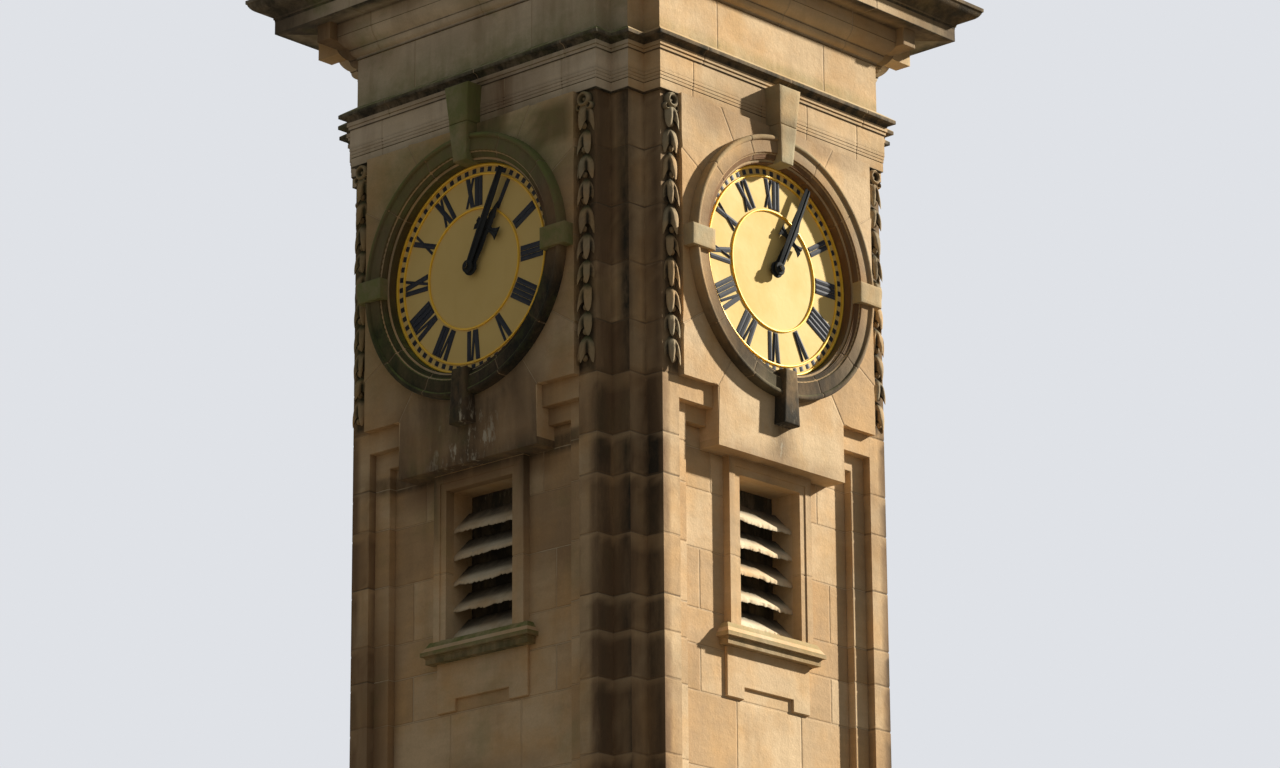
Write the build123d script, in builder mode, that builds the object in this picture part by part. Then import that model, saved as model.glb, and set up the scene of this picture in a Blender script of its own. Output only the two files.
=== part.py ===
from build123d import *
from math import cos, radians, sin, sqrt
import os

os.makedirs("parts", exist_ok=True)

# Heights above the ground, in millimetres
dial_height = 12000
step_height = 240
plinth_height = 1500
base_course_height = 240

# Heights from the dial's centre
recess_head = -1165
shoulder_foot = -1008
apron_foot = -1435
window_head = -1555
sill_seat = -2640
sill_foot = -2790
panel_foot = -3142
panel_middle = -3057
chamber_floor_top = -2800
architrave_foot = 1050
fillets_foot = 1115
fillets_top = 1184
string_foot = 1335
string_edge_foot = 1400
string_edge_top = 1428
frieze_foot = 1516
frieze_top = 1885
fascia_foot = 2045
soffit = 2172
corona_top = 2268
cyma_top = 2410
cornice_top = 2432

# The shaft's plan, from the tower's axis
half_width = 1505
corner_arris = 318
corner_rebate = 155
pilaster_width = 162
wall_inside = 460
field_depth = 125
band_depth = 65
band_width = 140
band_head = 120

# The dial's wall
dial_wall_proud = 55
apron_half_width = 673

# The dial and its seat
dial_radius = 805
dial_seat_radius = 780
dial_seat_gap = 5
dial_behind_wall = 63
dial_thickness = 12
dial_rings = ((760, 16, 12), (694, 12, 10), (442, 12, 10))
stud_radius = 12
stud_cap_gap = 8
stud_cap_radius = 22
stud_cap_height = 8

# The surround of the dial
surround_inside = 774
surround_outside = 964
surround_reveal = 8
surround_hollow = 797
surround_hollow_proud = 18
surround_step = 812
surround_step_proud = 30
surround_fascia = 841
surround_fascia_proud = 58
surround_roll = 928
surround_roll_rise = 19
surround_dial_gap = 5

# Keys of the surround
key_inside = 768
keystone_foot_width = 120
keystone_top_width = 228
keystone_foot_proud = 88
keystone_proud = 124
side_key_inside = 787
side_key_reach = 1022
side_key_height = 150
side_key_proud = 93
foot_key_reach = 1169
foot_key_top_width = 120
foot_key_foot_width = 168
foot_key_proud = 95

# Window
window_half_width = 325
architrave_width = 108
architrave_step_width = 54
architrave_step = 8
architrave_proud = 62
sill_half_width = 516
sill_thickness = 78
sill_lip_thickness = 24
sill_lip_reach = 28
sill_proud = 108
panel_half_width = 434
panel_ear_width = 174
panel_proud = 22
louvre_count = 5
louvre_thickness = 46
louvre_length = 230
louvre_pitch = 192
louvre_slope = 45
louvre_setback = 12
floor_thickness = 160

# Carved drops, each a string of husks under a rosette
drop_top = 1040
drop_foot = -960
drop_radius = 70
drop_gap = 11
rosette_radius = 62
rosette_proud = 58
rosette_lap = 4
husk_count = 10
husk_shape = ((0.40, 0.0), (1.0, 0.08), (0.62, 0.35), (0.85, 0.60))

# Mouldings of the entablature
fillet_count = 3
beam_proud = 28
band_proud = 37
string_proud = 100
bed_foot_proud = 12
bed_proud = 115
corona_proud = 282
cyma_proud = 435
crown_proud = 442
block_width = 130
block_proud = 185
block_foot = 2040

# Above the cornice
blocking_set_back = 120
blocking_height = 420
roof_eaves_proud = 60
roof_eaves_height = 70
roof_rise = 1150
roof_crown_depth = 320
roof_top_half_width = 130
finial_collar_height = 60
finial_skirt_height = 100
finial_neck_radius = 50
finial_neck_height = 300
finial_ball_radius = 120

# Plinth and step
plinth_proud = 150
plinth_inside = 470
step_proud = 420
door_half_width = 425
door_height = 1330
door_setback = 250
door_thickness = 60
door_stone_width = 110
door_stone_proud = 30

# Hands
minute_hand_angle = 26
hour_hand_angle = 32
minute_hand_widths = ((26, 0), (33, 250), (33, 550), (24, 745))
hour_hand_widths = ((34, 0), (38, 150), (30, 270), (38, 292), (110, 316), (116, 334), (52, 346), (34, 356),
                    (28, 378), (36, 398), (22, 440), (3, 505))
hand_thickness = 7
hand_rib = 0.4
hand_rib_rise = 5
hour_hand_gap = 34
minute_hand_gap = 64
minute_boss_radius = 48
hour_boss_radius = 60
boss_height = 16
bore_clearance = 0.08

faces = {"front": -90, "right": 0, "back": 90, "left": 180}
wall_face = half_width + dial_wall_proud
field_face = half_width - field_depth
inner_face = half_width - wall_inside
dial_face = wall_face - dial_behind_wall
arris_across = half_width - corner_arris
recess_across = arris_across - pilaster_width
drop_across = recess_across + drop_gap + drop_radius
stud_reach = minute_hand_gap + boss_height + stud_cap_gap
plinth_foot = step_height
shaft_foot = step_height + plinth_height + base_course_height


def face_plane(face, standoff=0.0):
    """A plane parallel to one face: x runs across it, y up and z outward, from the dial's centre."""
    outward = Vector(1, 0, 0).rotate(Axis.Z, faces[face])
    across = Vector(0, 1, 0).rotate(Axis.Z, faces[face])
    return Plane(origin=outward * standoff + Vector(0, 0, dial_height), x_dir=across, z_dir=outward)


def level_plane(face, height=0.0):
    """A level plane at a height from the dial's centre: x runs along the face and y outward."""
    along = Vector(0, -1, 0).rotate(Axis.Z, faces[face])
    return Plane(origin=(0, 0, dial_height + height), x_dir=along, z_dir=(0, 0, 1))


def side_plane(face, across=0.0):
    """An upright plane square to one face: x runs outward and y up, from the dial's centre line."""
    outward = Vector(1, 0, 0).rotate(Axis.Z, faces[face])
    along = Vector(0, -1, 0).rotate(Axis.Z, faces[face])
    return Plane(origin=along * across + Vector(0, 0, dial_height), x_dir=outward, z_dir=along)


def dial_axis(face):
    """The line through a dial's centre, pointing outward."""
    plane = face_plane(face)
    return Axis(plane.origin, plane.z_dir)


def stepped_plan(proud):
    """Corners of the tower's plan with its double-stepped corners, moved out by proud."""
    outer = half_width + proud
    arris = arris_across + proud
    step = half_width - corner_rebate + proud
    quarter = [(outer, arris), (step, arris), (step, step), (arris, step), (arris, outer)]
    corners = []
    for _ in range(4):
        corners += quarter
        quarter = [(-y, x) for x, y in quarter]
    return corners


def square_plan(half):
    """Corners of a square about the tower's axis."""
    return [(half, -half), (half, half), (-half, half), (-half, -half)]


def middle_first(corners):
    """The same corners as a closed run that starts half way along the side that closes it."""
    last, first = Vector(*corners[-1]), Vector(*corners[0])
    start = (last + first) / 2
    return [(start.X, start.Y)] + corners


def course(corners, foot, top):
    """A plain course of masonry with these outer corners, open in the middle."""
    with BuildPart() as ring:
        with BuildSketch(Plane.XY.offset(dial_height + foot)):
            Polygon(*corners, align=None)
            Rectangle(2 * inner_face, 2 * inner_face, mode=Mode.SUBTRACT)
        extrude(amount=top - foot)
    return ring.part


def moulding(corners, foot, outline):
    """A moulding carried round a plan; outline draws its section with x outward and y up."""
    run = middle_first(corners)
    start = Vector(*run[0])
    outward = start.normalized()
    origin = Vector(start.X, start.Y, dial_height + foot)
    with BuildPart() as ring:
        with BuildLine(Plane.XY.offset(dial_height + foot)) as path:
            Polyline(*run, close=True)
        with BuildSketch(Plane(origin=origin, x_dir=outward, z_dir=outward.cross(Vector(0, 0, 1)))):
            with BuildLine():
                outline()
            make_face()
        sweep(path=path.wire(), transition=Transition.RIGHT)
    return ring.part


def hand_outline(widths):
    """Outline of a hand that points to 12, from pairs of half width and distance from the centre."""
    return [(-half, out) for half, out in widths] + [(half, out) for half, out in reversed(widths)]


def hand(face, gap, angle, widths, boss_radius):
    """A hand at an angle from 12, with its rib and its bored boss, at a gap over the dial."""
    ribs = [(hand_rib * min(half, widths[0][0]), out) for half, out in widths]
    with BuildPart() as blade:
        for outline, rise in ((widths, 0), (ribs, hand_rib_rise)):
            with BuildSketch(face_plane(face, dial_face + gap)):
                with Locations(Rotation(0, 0, -angle)):
                    Polygon(*hand_outline(outline), align=None)
            extrude(amount=hand_thickness + rise)
        with BuildSketch(face_plane(face, dial_face + gap)):
            Circle(boss_radius)
        extrude(amount=boss_height)
        with Locations(face_plane(face, dial_face + gap + boss_height)):
            Hole(stud_radius + bore_clearance, depth=2 * boss_height)
    return blade.part


def keystone(face):
    """Keystone with a leaning front, let back over the dial's wall as far as the architrave."""
    with BuildPart() as stone:
        with BuildSketch(side_plane(face)):
            Polygon((wall_face, key_inside), (wall_face + keystone_foot_proud, key_inside),
                    (wall_face + keystone_proud, string_foot), (half_width, string_foot),
                    (half_width, architrave_foot), (wall_face, architrave_foot), align=None)
        extrude(amount=keystone_top_width, both=True)
        with BuildSketch(face_plane(face)):
            Polygon((-keystone_foot_width / 2, key_inside), (keystone_foot_width / 2, key_inside),
                    (keystone_top_width / 2, string_foot), (-keystone_top_width / 2, string_foot), align=None)
        extrude(amount=2 * half_width, mode=Mode.INTERSECT)
    return stone.part


def carved_drop(face, across):
    """A string of husks against the pilaster, half round, with a rosette at its top."""
    pitch = (drop_top - 2 * rosette_radius + rosette_lap - drop_foot) / husk_count
    outline = [(0, drop_foot)]
    for i in range(husk_count):
        outline += [(width * drop_radius, drop_foot + (i + rise) * pitch) for width, rise in husk_shape]
    string_top = drop_foot + husk_count * pitch
    outline += [(husk_shape[0][0] * drop_radius, string_top), (0, string_top)]
    face_of_pier = face_plane(face, half_width)
    centre = face_of_pier.from_local_coords(Vector(across, 0, 0))
    with BuildPart() as drop:
        with BuildSketch(Plane(origin=centre, x_dir=face_of_pier.x_dir, z_dir=face_of_pier.z_dir)):
            Polygon(*outline, align=None)
        revolve(axis=Axis(centre, (0, 0, -1)), revolution_arc=180)
        with BuildSketch(face_of_pier):
            with Locations((across, drop_top - rosette_radius)):
                Circle(rosette_radius)
        extrude(amount=rosette_proud)
    return drop.part


def save(part, name):
    """Labels a finished piece and writes it."""
    part.label = name
    export_step(part, f"parts/{name}.step")


# Bottom step, which is also the floor at the foot
with BuildPart() as base_step:
    with BuildSketch():
        Rectangle(2 * (half_width + step_proud), 2 * (half_width + step_proud))
    extrude(amount=step_height)
save(base_step.part, "base_step")

# Plinth, with the doorway through its back wall
with BuildPart() as plinth:
    with BuildSketch(Plane.XY.offset(plinth_foot)):
        Polygon(*square_plan(half_width + plinth_proud), align=None)
        Rectangle(2 * (half_width - plinth_inside), 2 * (half_width - plinth_inside), mode=Mode.SUBTRACT)
    extrude(amount=plinth_height)
    with BuildSketch(face_plane("back")):
        with Locations((0, plinth_foot + door_height / 2 - dial_height)):
            Rectangle(2 * door_half_width, door_height)
    extrude(amount=half_width + plinth_proud, mode=Mode.SUBTRACT)
save(plinth.part, "plinth")

# Door in the plinth, and the stones round it
with BuildPart() as door_leaf:
    with BuildSketch(face_plane("back", half_width + plinth_proud - door_setback - door_thickness)):
        with Locations((0, plinth_foot + door_height / 2 - dial_height)):
            Rectangle(2 * door_half_width, door_height)
    extrude(amount=door_thickness)
save(door_leaf.part, "door_leaf")

with BuildPart() as door_surround:
    with BuildSketch(face_plane("back", half_width + plinth_proud)):
        with Locations((0, plinth_foot - dial_height)):
            Rectangle(2 * (door_half_width + door_stone_width), door_height + door_stone_width,
                      align=(Align.CENTER, Align.MIN))
            Rectangle(2 * door_half_width, door_height, align=(Align.CENTER, Align.MIN), mode=Mode.SUBTRACT)
    extrude(amount=door_stone_proud)
save(door_surround.part, "door_surround")

# Base course between plinth and shaft
with BuildPart() as base_course:
    with BuildSketch(Plane.XY.offset(plinth_foot + plinth_height)):
        Polygon(*square_plan(half_width + plinth_proud), align=None)
    with BuildSketch(Plane.XY.offset(shaft_foot)):
        Polygon(*square_plan(half_width), align=None)
    loft()
    with BuildSketch(Plane.XY.offset(plinth_foot + plinth_height)):
        Rectangle(2 * inner_face, 2 * inner_face)
    extrude(amount=base_course_height, mode=Mode.SUBTRACT)
save(base_course.part, "base_course")

# Corner piers
with BuildPart() as corner_piers:
    with BuildSketch(Plane.XY.offset(shaft_foot)):
        with PolarLocations(0, 4):
            Polygon((half_width, recess_across), (half_width, arris_across),
                    (half_width - corner_rebate, arris_across),
                    (half_width - corner_rebate, half_width - corner_rebate),
                    (arris_across, half_width - corner_rebate), (arris_across, half_width),
                    (recess_across, half_width), (recess_across, inner_face), (inner_face, inner_face),
                    (inner_face, recess_across), align=None)
    extrude(amount=dial_height + architrave_foot - shaft_foot)
save(corner_piers.part, "corner_piers")

# Shaft walls in the sunk panels, with the eared panel under the sill
for face in faces:
    with BuildPart() as lower_wall:
        with BuildSketch(face_plane(face, inner_face)):
            with Locations((0, shaft_foot - dial_height)):
                Rectangle(2 * recess_across, dial_height + sill_foot - shaft_foot,
                          align=(Align.CENTER, Align.MIN))
        extrude(amount=wall_inside - field_depth)
        with BuildSketch(face_plane(face, field_face)):
            with Locations((recess_across, shaft_foot - dial_height)):
                Rectangle(band_width, dial_height + sill_foot - shaft_foot, align=(Align.MAX, Align.MIN))
            with Locations((-recess_across, shaft_foot - dial_height)):
                Rectangle(band_width, dial_height + sill_foot - shaft_foot, align=(Align.MIN, Align.MIN))
        extrude(amount=field_depth - band_depth)
        with BuildSketch(face_plane(face, field_face)):
            with Locations((0, sill_foot)):
                Rectangle(2 * panel_half_width, sill_foot - panel_foot, align=(Align.CENTER, Align.MAX))
            with Locations((0, panel_middle)):
                Rectangle(2 * (panel_half_width - panel_ear_width), panel_middle - panel_foot,
                          align=(Align.CENTER, Align.MAX), mode=Mode.SUBTRACT)
        extrude(amount=panel_proud)
    save(lower_wall.part, f"lower_wall_{face}")

# Wall beside the windows
with BuildPart() as window_walls:
    for face in faces:
        for side in (-1, 1):
            with BuildSketch(face_plane(face, inner_face)):
                with Locations((side * (recess_across + window_half_width) / 2, sill_foot)):
                    Rectangle(recess_across - window_half_width, window_head - sill_foot,
                              align=(Align.CENTER, Align.MIN))
            extrude(amount=wall_inside - field_depth)
            with BuildSketch(face_plane(face, field_face)):
                with Locations((side * (recess_across - band_width / 2), sill_foot)):
                    Rectangle(band_width, window_head - sill_foot, align=(Align.CENTER, Align.MIN))
            extrude(amount=field_depth - band_depth)
save(window_walls.part, "window_walls")

# Dial walls, with shoulders and apron
for face in faces:
    with BuildPart() as dial_wall:
        with BuildSketch(face_plane(face, inner_face)):
            with Locations((0, window_head)):
                Rectangle(2 * recess_across, architrave_foot - window_head, align=(Align.CENTER, Align.MIN))
        extrude(amount=wall_inside - field_depth)
        with BuildSketch(face_plane(face, field_face)):
            for side in (-1, 1):
                with Locations((side * (recess_across - band_width / 2), window_head)):
                    Rectangle(band_width, recess_head - window_head, align=(Align.CENTER, Align.MIN))
            with Locations((0, recess_head - band_head)):
                Rectangle(2 * recess_across, band_head, align=(Align.CENTER, Align.MIN))
        extrude(amount=field_depth - band_depth)
        with BuildSketch(face_plane(face, field_face)):
            with Locations((0, recess_head)):
                Rectangle(2 * recess_across, architrave_foot - recess_head, align=(Align.CENTER, Align.MIN))
        extrude(amount=field_depth)
        with BuildSketch(face_plane(face, field_face)):
            with Locations((0, shoulder_foot)):
                Rectangle(2 * recess_across, architrave_foot - shoulder_foot, align=(Align.CENTER, Align.MIN))
            with Locations((0, apron_foot)):
                Rectangle(2 * apron_half_width, shoulder_foot - apron_foot, align=(Align.CENTER, Align.MIN))
        extrude(amount=field_depth + dial_wall_proud)
        with Locations(face_plane(face, wall_face)):
            CounterBoreHole(dial_seat_radius, dial_radius + dial_seat_gap,
                            dial_behind_wall + dial_thickness, depth=wall_face - inner_face)
    save(dial_wall.part, f"dial_wall_{face}")

# Window architraves
with BuildPart() as window_architraves:
    for face in faces:
        for width, proud in ((architrave_width, architrave_proud - architrave_step),
                             (architrave_step_width, architrave_proud)):
            outer = window_half_width + architrave_width
            inner = outer - width
            with BuildSketch(face_plane(face, field_face)):
                with Locations((0, sill_seat)):
                    Rectangle(2 * outer, apron_foot - sill_seat, align=(Align.CENTER, Align.MIN))
                    Rectangle(2 * inner, window_head - sill_seat + architrave_width - width,
                              align=(Align.CENTER, Align.MIN), mode=Mode.SUBTRACT)
            extrude(amount=proud)
save(window_architraves.part, "window_architraves")

# Window sills, each with a block through the wall under its louvres
with BuildPart() as window_sills:
    for face in faces:
        sill_top = sill_foot + sill_thickness
        with BuildSketch(level_plane(face, sill_foot)):
            with Locations((0, field_face)):
                Rectangle(2 * (sill_half_width - sill_lip_reach), sill_proud - sill_lip_reach,
                          align=(Align.CENTER, Align.MIN))
        extrude(amount=sill_thickness)
        with BuildSketch(level_plane(face, sill_top)):
            with Locations((0, field_face)):
                Rectangle(2 * sill_half_width, sill_proud, align=(Align.CENTER, Align.MIN))
        extrude(amount=-sill_lip_thickness)
        slope = sill_proud - architrave_proud
        with BuildSketch(level_plane(face, sill_top)):
            with Locations((0, field_face)):
                Rectangle(2 * sill_half_width, sill_proud, align=(Align.CENTER, Align.MIN))
        with BuildSketch(level_plane(face, sill_seat)):
            with Locations((0, field_face)):
                Rectangle(2 * (sill_half_width - slope), architrave_proud, align=(Align.CENTER, Align.MIN))
        loft()
        with BuildSketch(level_plane(face, sill_foot)):
            with Locations((0, field_face)):
                Rectangle(2 * window_half_width, wall_inside - field_depth, align=(Align.CENTER, Align.MAX))
        extrude(amount=sill_seat - sill_foot)
save(window_sills.part, "window_sills")

# Stone louvre blades, let into the sides of the windows
blade_nose = louvre_thickness / sin(radians(louvre_slope))
blade_run = louvre_length * cos(radians(louvre_slope))
blade_rise = louvre_length * sin(radians(louvre_slope))
with BuildPart() as louvre_blades:
    for face in faces:
        with BuildSketch(side_plane(face)):
            for i in range(louvre_count):
                with Locations((field_face - louvre_setback, sill_seat + i * louvre_pitch)):
                    Polygon((0, 0), (0, blade_nose), (-blade_run, blade_nose + blade_rise),
                            (-blade_run, blade_rise), align=None)
        extrude(amount=window_half_width, both=True)
save(louvre_blades.part, "louvre_blades")

# Floor under the louvred windows
with BuildPart() as chamber_floor:
    with BuildSketch(Plane.XY.offset(dial_height + chamber_floor_top)):
        Rectangle(2 * inner_face, 2 * inner_face)
    extrude(amount=-floor_thickness)
save(chamber_floor.part, "chamber_floor")

# Dials, each with its raised rings and the stud that carries the hands
for face in faces:
    with BuildPart() as dial:
        with BuildSketch(level_plane(face)):
            with Locations((0, dial_face)):
                Rectangle(dial_radius, dial_thickness, align=(Align.MIN, Align.MAX))
                Rectangle(stud_radius, stud_reach, align=(Align.MIN, Align.MIN))
            for radius, width, rise in dial_rings:
                with Locations((radius, dial_face)):
                    Rectangle(width, rise, align=(Align.CENTER, Align.MIN))
            with Locations((0, dial_face + stud_reach)):
                Rectangle(stud_cap_radius, stud_cap_height, align=(Align.MIN, Align.MIN))
        revolve(axis=dial_axis(face))
    save(dial.part, f"dial_{face}")

# Keys of the dial surrounds
with BuildPart() as surround_keys:
    for face in faces:
        add(keystone(face))
        with BuildSketch(face_plane(face, wall_face)):
            Polygon((-foot_key_top_width / 2, -key_inside), (foot_key_top_width / 2, -key_inside),
                    (foot_key_foot_width / 2, -foot_key_reach), (-foot_key_foot_width / 2, -foot_key_reach),
                    align=None)
        extrude(amount=foot_key_proud)
        with BuildSketch(face_plane(face, wall_face)):
            for side in (-1, 1):
                with Locations((side * (side_key_inside + side_key_reach) / 2, 0)):
                    Rectangle(side_key_reach - side_key_inside, side_key_height)
        extrude(amount=side_key_proud)
save(surround_keys.part, "surround_keys")

# Moulded stone rings round the dials, let into the keys
for face in faces:
    with BuildPart() as dial_surround:
        with BuildSketch(level_plane(face)):
            with BuildLine():
                hollow_foot = (surround_inside, wall_face + surround_reveal)
                hollow_top = (surround_hollow, wall_face + surround_hollow_proud)
                roll_foot = (surround_roll, wall_face + surround_fascia_proud)
                roll_end = (surround_outside, wall_face + surround_fascia_proud)
                roll_top = ((surround_roll + surround_outside) / 2,
                            wall_face + surround_fascia_proud + surround_roll_rise)
                seat = dial_radius + dial_seat_gap
                Polyline(roll_end, (surround_outside, wall_face),
                         (seat, wall_face), (seat, dial_face + surround_dial_gap),
                         (surround_inside, dial_face + surround_dial_gap), hollow_foot)
                RadiusArc(hollow_foot, hollow_top, 2 * (surround_hollow - surround_inside))
                Polyline(hollow_top, (surround_hollow, wall_face + surround_step_proud),
                         (surround_step, wall_face + surround_step_proud),
                         (surround_fascia, wall_face + surround_fascia_proud), roll_foot)
                ThreePointArc(roll_foot, roll_top, roll_end)
            make_face()
        revolve(axis=dial_axis(face))
        add(surround_keys.part, mode=Mode.SUBTRACT)
    save(dial_surround.part, f"dial_surround_{face}")

# Carved drops beside the dials
with BuildPart() as carved_drops:
    for face in faces:
        for side in (-1, 1):
            add(carved_drop(face, side * drop_across))
save(carved_drops.part, "carved_drops")


def architrave_outline():
    """Section of the architrave: fascia, three fillets and the band over them."""
    height = fillets_foot - architrave_foot
    fillet = (fillets_top - fillets_foot) / fillet_count
    step = (band_proud - beam_proud) / fillet_count
    points = [(0, 0), (beam_proud, 0), (beam_proud, height)]
    for i in range(fillet_count):
        points += [(beam_proud + (i + 1) * step, height + i * fillet),
                   (beam_proud + (i + 1) * step, height + (i + 1) * fillet)]
    points += [(band_proud, string_foot - architrave_foot), (0, string_foot - architrave_foot)]
    Polyline(*points, close=True)


def string_outline():
    """Section of the string: ovolo under a square edge, and a weathered top."""
    edge = string_edge_foot - string_foot
    top = string_edge_top - string_foot
    Polyline((string_proud, edge), (string_proud, top), (0, frieze_foot - string_foot), (0, 0), (band_proud, 0))
    RadiusArc((band_proud, 0), (string_proud, edge), -(string_proud - band_proud + edge))


def bed_outline():
    """Section of the bed mould: hollow under the tall fascia."""
    fascia = fascia_foot - frieze_top
    Polyline((bed_proud, fascia), (bed_proud, soffit - frieze_top), (0, soffit - frieze_top), (0, 0),
             (bed_foot_proud, 0))
    RadiusArc((bed_foot_proud, 0), (bed_proud, fascia), bed_proud + fascia)


def cyma_outline():
    """Section of the crowning cyma: a double curve under a fillet, and a weathered top."""
    height = cyma_top - corona_top
    middle = ((corona_proud + cyma_proud) / 2, height / 2)
    Polyline((cyma_proud, height), (crown_proud, height), (crown_proud, cornice_top - corona_top),
             (-blocking_set_back, cornice_top - corona_top), (-blocking_set_back, 0), (corona_proud, 0))
    RadiusArc((corona_proud, 0), middle, -height)
    RadiusArc(middle, (cyma_proud, height), height)


def stepped_course(foot, top, outline):
    """A course with a plain body and a moulded face that follow the stepped corners."""
    with BuildPart() as ring:
        add(course(stepped_plan(0), foot, top))
        add(moulding(stepped_plan(0), foot, outline))
    return ring.part


# Courses over the dials
with BuildPart() as architrave:
    add(stepped_course(architrave_foot, string_foot, architrave_outline))
    add(surround_keys.part, mode=Mode.SUBTRACT)
save(architrave.part, "architrave")
save(stepped_course(string_foot, frieze_foot, string_outline), "string_course")
save(course(stepped_plan(0), frieze_foot, frieze_top), "frieze")
save(stepped_course(frieze_top, soffit, bed_outline), "bed_mould")
save(course(square_plan(half_width + corona_proud), soffit, corona_top), "corona")

# Crowning cyma, on the back edge of the corona
save(moulding(square_plan(half_width), corona_top, cyma_outline), "cyma")

# Blocks under the corona, beside each corner
with BuildPart() as cornice_blocks:
    for face in faces:
        with BuildSketch(face_plane(face, half_width - corner_rebate + bed_proud)):
            for side in (-1, 1):
                with Locations((side * (arris_across + bed_proud + block_width / 2), block_foot)):
                    Rectangle(block_width, soffit - block_foot, align=(Align.CENTER, Align.MIN))
        extrude(amount=corner_rebate + block_proud - bed_proud)
save(cornice_blocks.part, "cornice_blocks")

# Blocking course, roof and finial
save(course(square_plan(half_width - blocking_set_back), cornice_top, cornice_top + blocking_height),
     "blocking_course")
roof_foot = dial_height + cornice_top + blocking_height
eaves_half = half_width - blocking_set_back + roof_eaves_proud
roof_foot_top = roof_foot + roof_eaves_height
with BuildPart() as roof:
    with BuildSketch(Plane.XY.offset(roof_foot)):
        Rectangle(2 * eaves_half, 2 * eaves_half)
    extrude(amount=roof_eaves_height)
    with BuildSketch(Plane.XY.offset(roof_foot_top)):
        Rectangle(2 * eaves_half, 2 * eaves_half)
    with BuildSketch(Plane.XY.offset(roof_foot_top + roof_rise)):
        Rectangle(2 * roof_top_half_width, 2 * roof_top_half_width)
    loft()
    with BuildSketch(Plane.XY.offset(roof_foot)):
        Rectangle(2 * inner_face, 2 * inner_face)
    with BuildSketch(Plane.XY.offset(roof_foot_top + roof_rise - roof_crown_depth)):
        Rectangle(roof_top_half_width, roof_top_half_width)
    loft(mode=Mode.SUBTRACT)
save(roof.part, "roof")

finial_foot = roof_foot_top + roof_rise
finial_skirt_top = finial_foot + finial_collar_height + finial_skirt_height
ball_foot = finial_skirt_top + finial_neck_height
ball_centre = ball_foot + sqrt(finial_ball_radius**2 - finial_neck_radius**2)
with BuildPart() as finial:
    with BuildSketch(Plane.XZ):
        with BuildLine():
            Polyline((0, ball_centre + finial_ball_radius), (0, finial_foot), (roof_top_half_width, finial_foot),
                     (roof_top_half_width, finial_foot + finial_collar_height),
                     (finial_neck_radius, finial_skirt_top), (finial_neck_radius, ball_foot))
            ThreePointArc((finial_neck_radius, ball_foot), (finial_ball_radius, ball_centre),
                          (0, ball_centre + finial_ball_radius))
        make_face()
    revolve(axis=Axis.Z)
save(finial.part, "finial")

# Hands
for face in faces:
    hour_hand = hand(face, hour_hand_gap, hour_hand_angle, hour_hand_widths, hour_boss_radius)
    save(hour_hand, f"hour_hand_{face}")
    minute_hand = hand(face, minute_hand_gap, minute_hand_angle, minute_hand_widths, minute_boss_radius)
    save(minute_hand, f"minute_hand_{face}")
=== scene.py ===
"""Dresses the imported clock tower: ashlar, mouldings, dials, hands and carving, with their finishes."""

import logging
import math
from dataclasses import dataclass, field
from enum import Enum
from typing import Callable, Sequence

import bpy
import numpy as np
from mathutils import Matrix, Vector

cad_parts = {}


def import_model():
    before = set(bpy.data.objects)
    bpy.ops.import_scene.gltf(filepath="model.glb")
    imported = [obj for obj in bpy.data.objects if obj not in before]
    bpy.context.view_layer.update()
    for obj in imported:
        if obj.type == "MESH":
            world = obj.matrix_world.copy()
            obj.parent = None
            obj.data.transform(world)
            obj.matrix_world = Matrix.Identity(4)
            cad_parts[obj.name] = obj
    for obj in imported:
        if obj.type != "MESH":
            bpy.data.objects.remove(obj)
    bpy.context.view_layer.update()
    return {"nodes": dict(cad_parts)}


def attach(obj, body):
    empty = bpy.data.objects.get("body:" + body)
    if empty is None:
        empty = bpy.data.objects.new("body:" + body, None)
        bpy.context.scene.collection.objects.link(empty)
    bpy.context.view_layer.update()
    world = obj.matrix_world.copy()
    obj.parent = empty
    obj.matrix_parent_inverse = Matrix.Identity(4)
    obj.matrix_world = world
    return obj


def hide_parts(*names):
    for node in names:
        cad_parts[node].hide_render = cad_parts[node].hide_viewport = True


LOG = logging.getLogger("clock_tower")
Array = np.ndarray
Amount = Array | float
Pair = tuple[float, float]
Triple = tuple[float, float, float]
Colour = Triple
Socket = bpy.types.NodeSocket

DIAL_HEIGHT = 12.0
SKIN = 0.003
ARRIS = 0.004
JOINT = 0.0035
MORTAR_LEVEL = 0.0006
ARRIS_LINES = (2, 3)
CUT_INSET = np.array((0.0, JOINT, JOINT, JOINT + ARRIS, JOINT + 3 * ARRIS))
CUT_LEVEL = np.array((MORTAR_LEVEL, MORTAR_LEVEL, SKIN - ARRIS / 2, SKIN, SKIN))
CUT_MARK = np.array((1.0, 1.0, 0.5, 0.0, 0.0))
FREE_INSET = np.array((0.0, 0.0, 0.0, ARRIS, 3 * ARRIS)) - SKIN
FREE_LEVEL = np.array((0.0, 0.0, SKIN - ARRIS, SKIN, SKIN))
FREE_BACK = np.array((-1.0, -0.5, 0.0, 0.0, 0.0))
BUTT_INSET = np.array((0.0, 0.001, 0.002, 0.003, 3 * ARRIS))
UP = np.array((0.0, 1.0, 0.0))
OUT = np.array((0.0, 0.0, 1.0))


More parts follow.
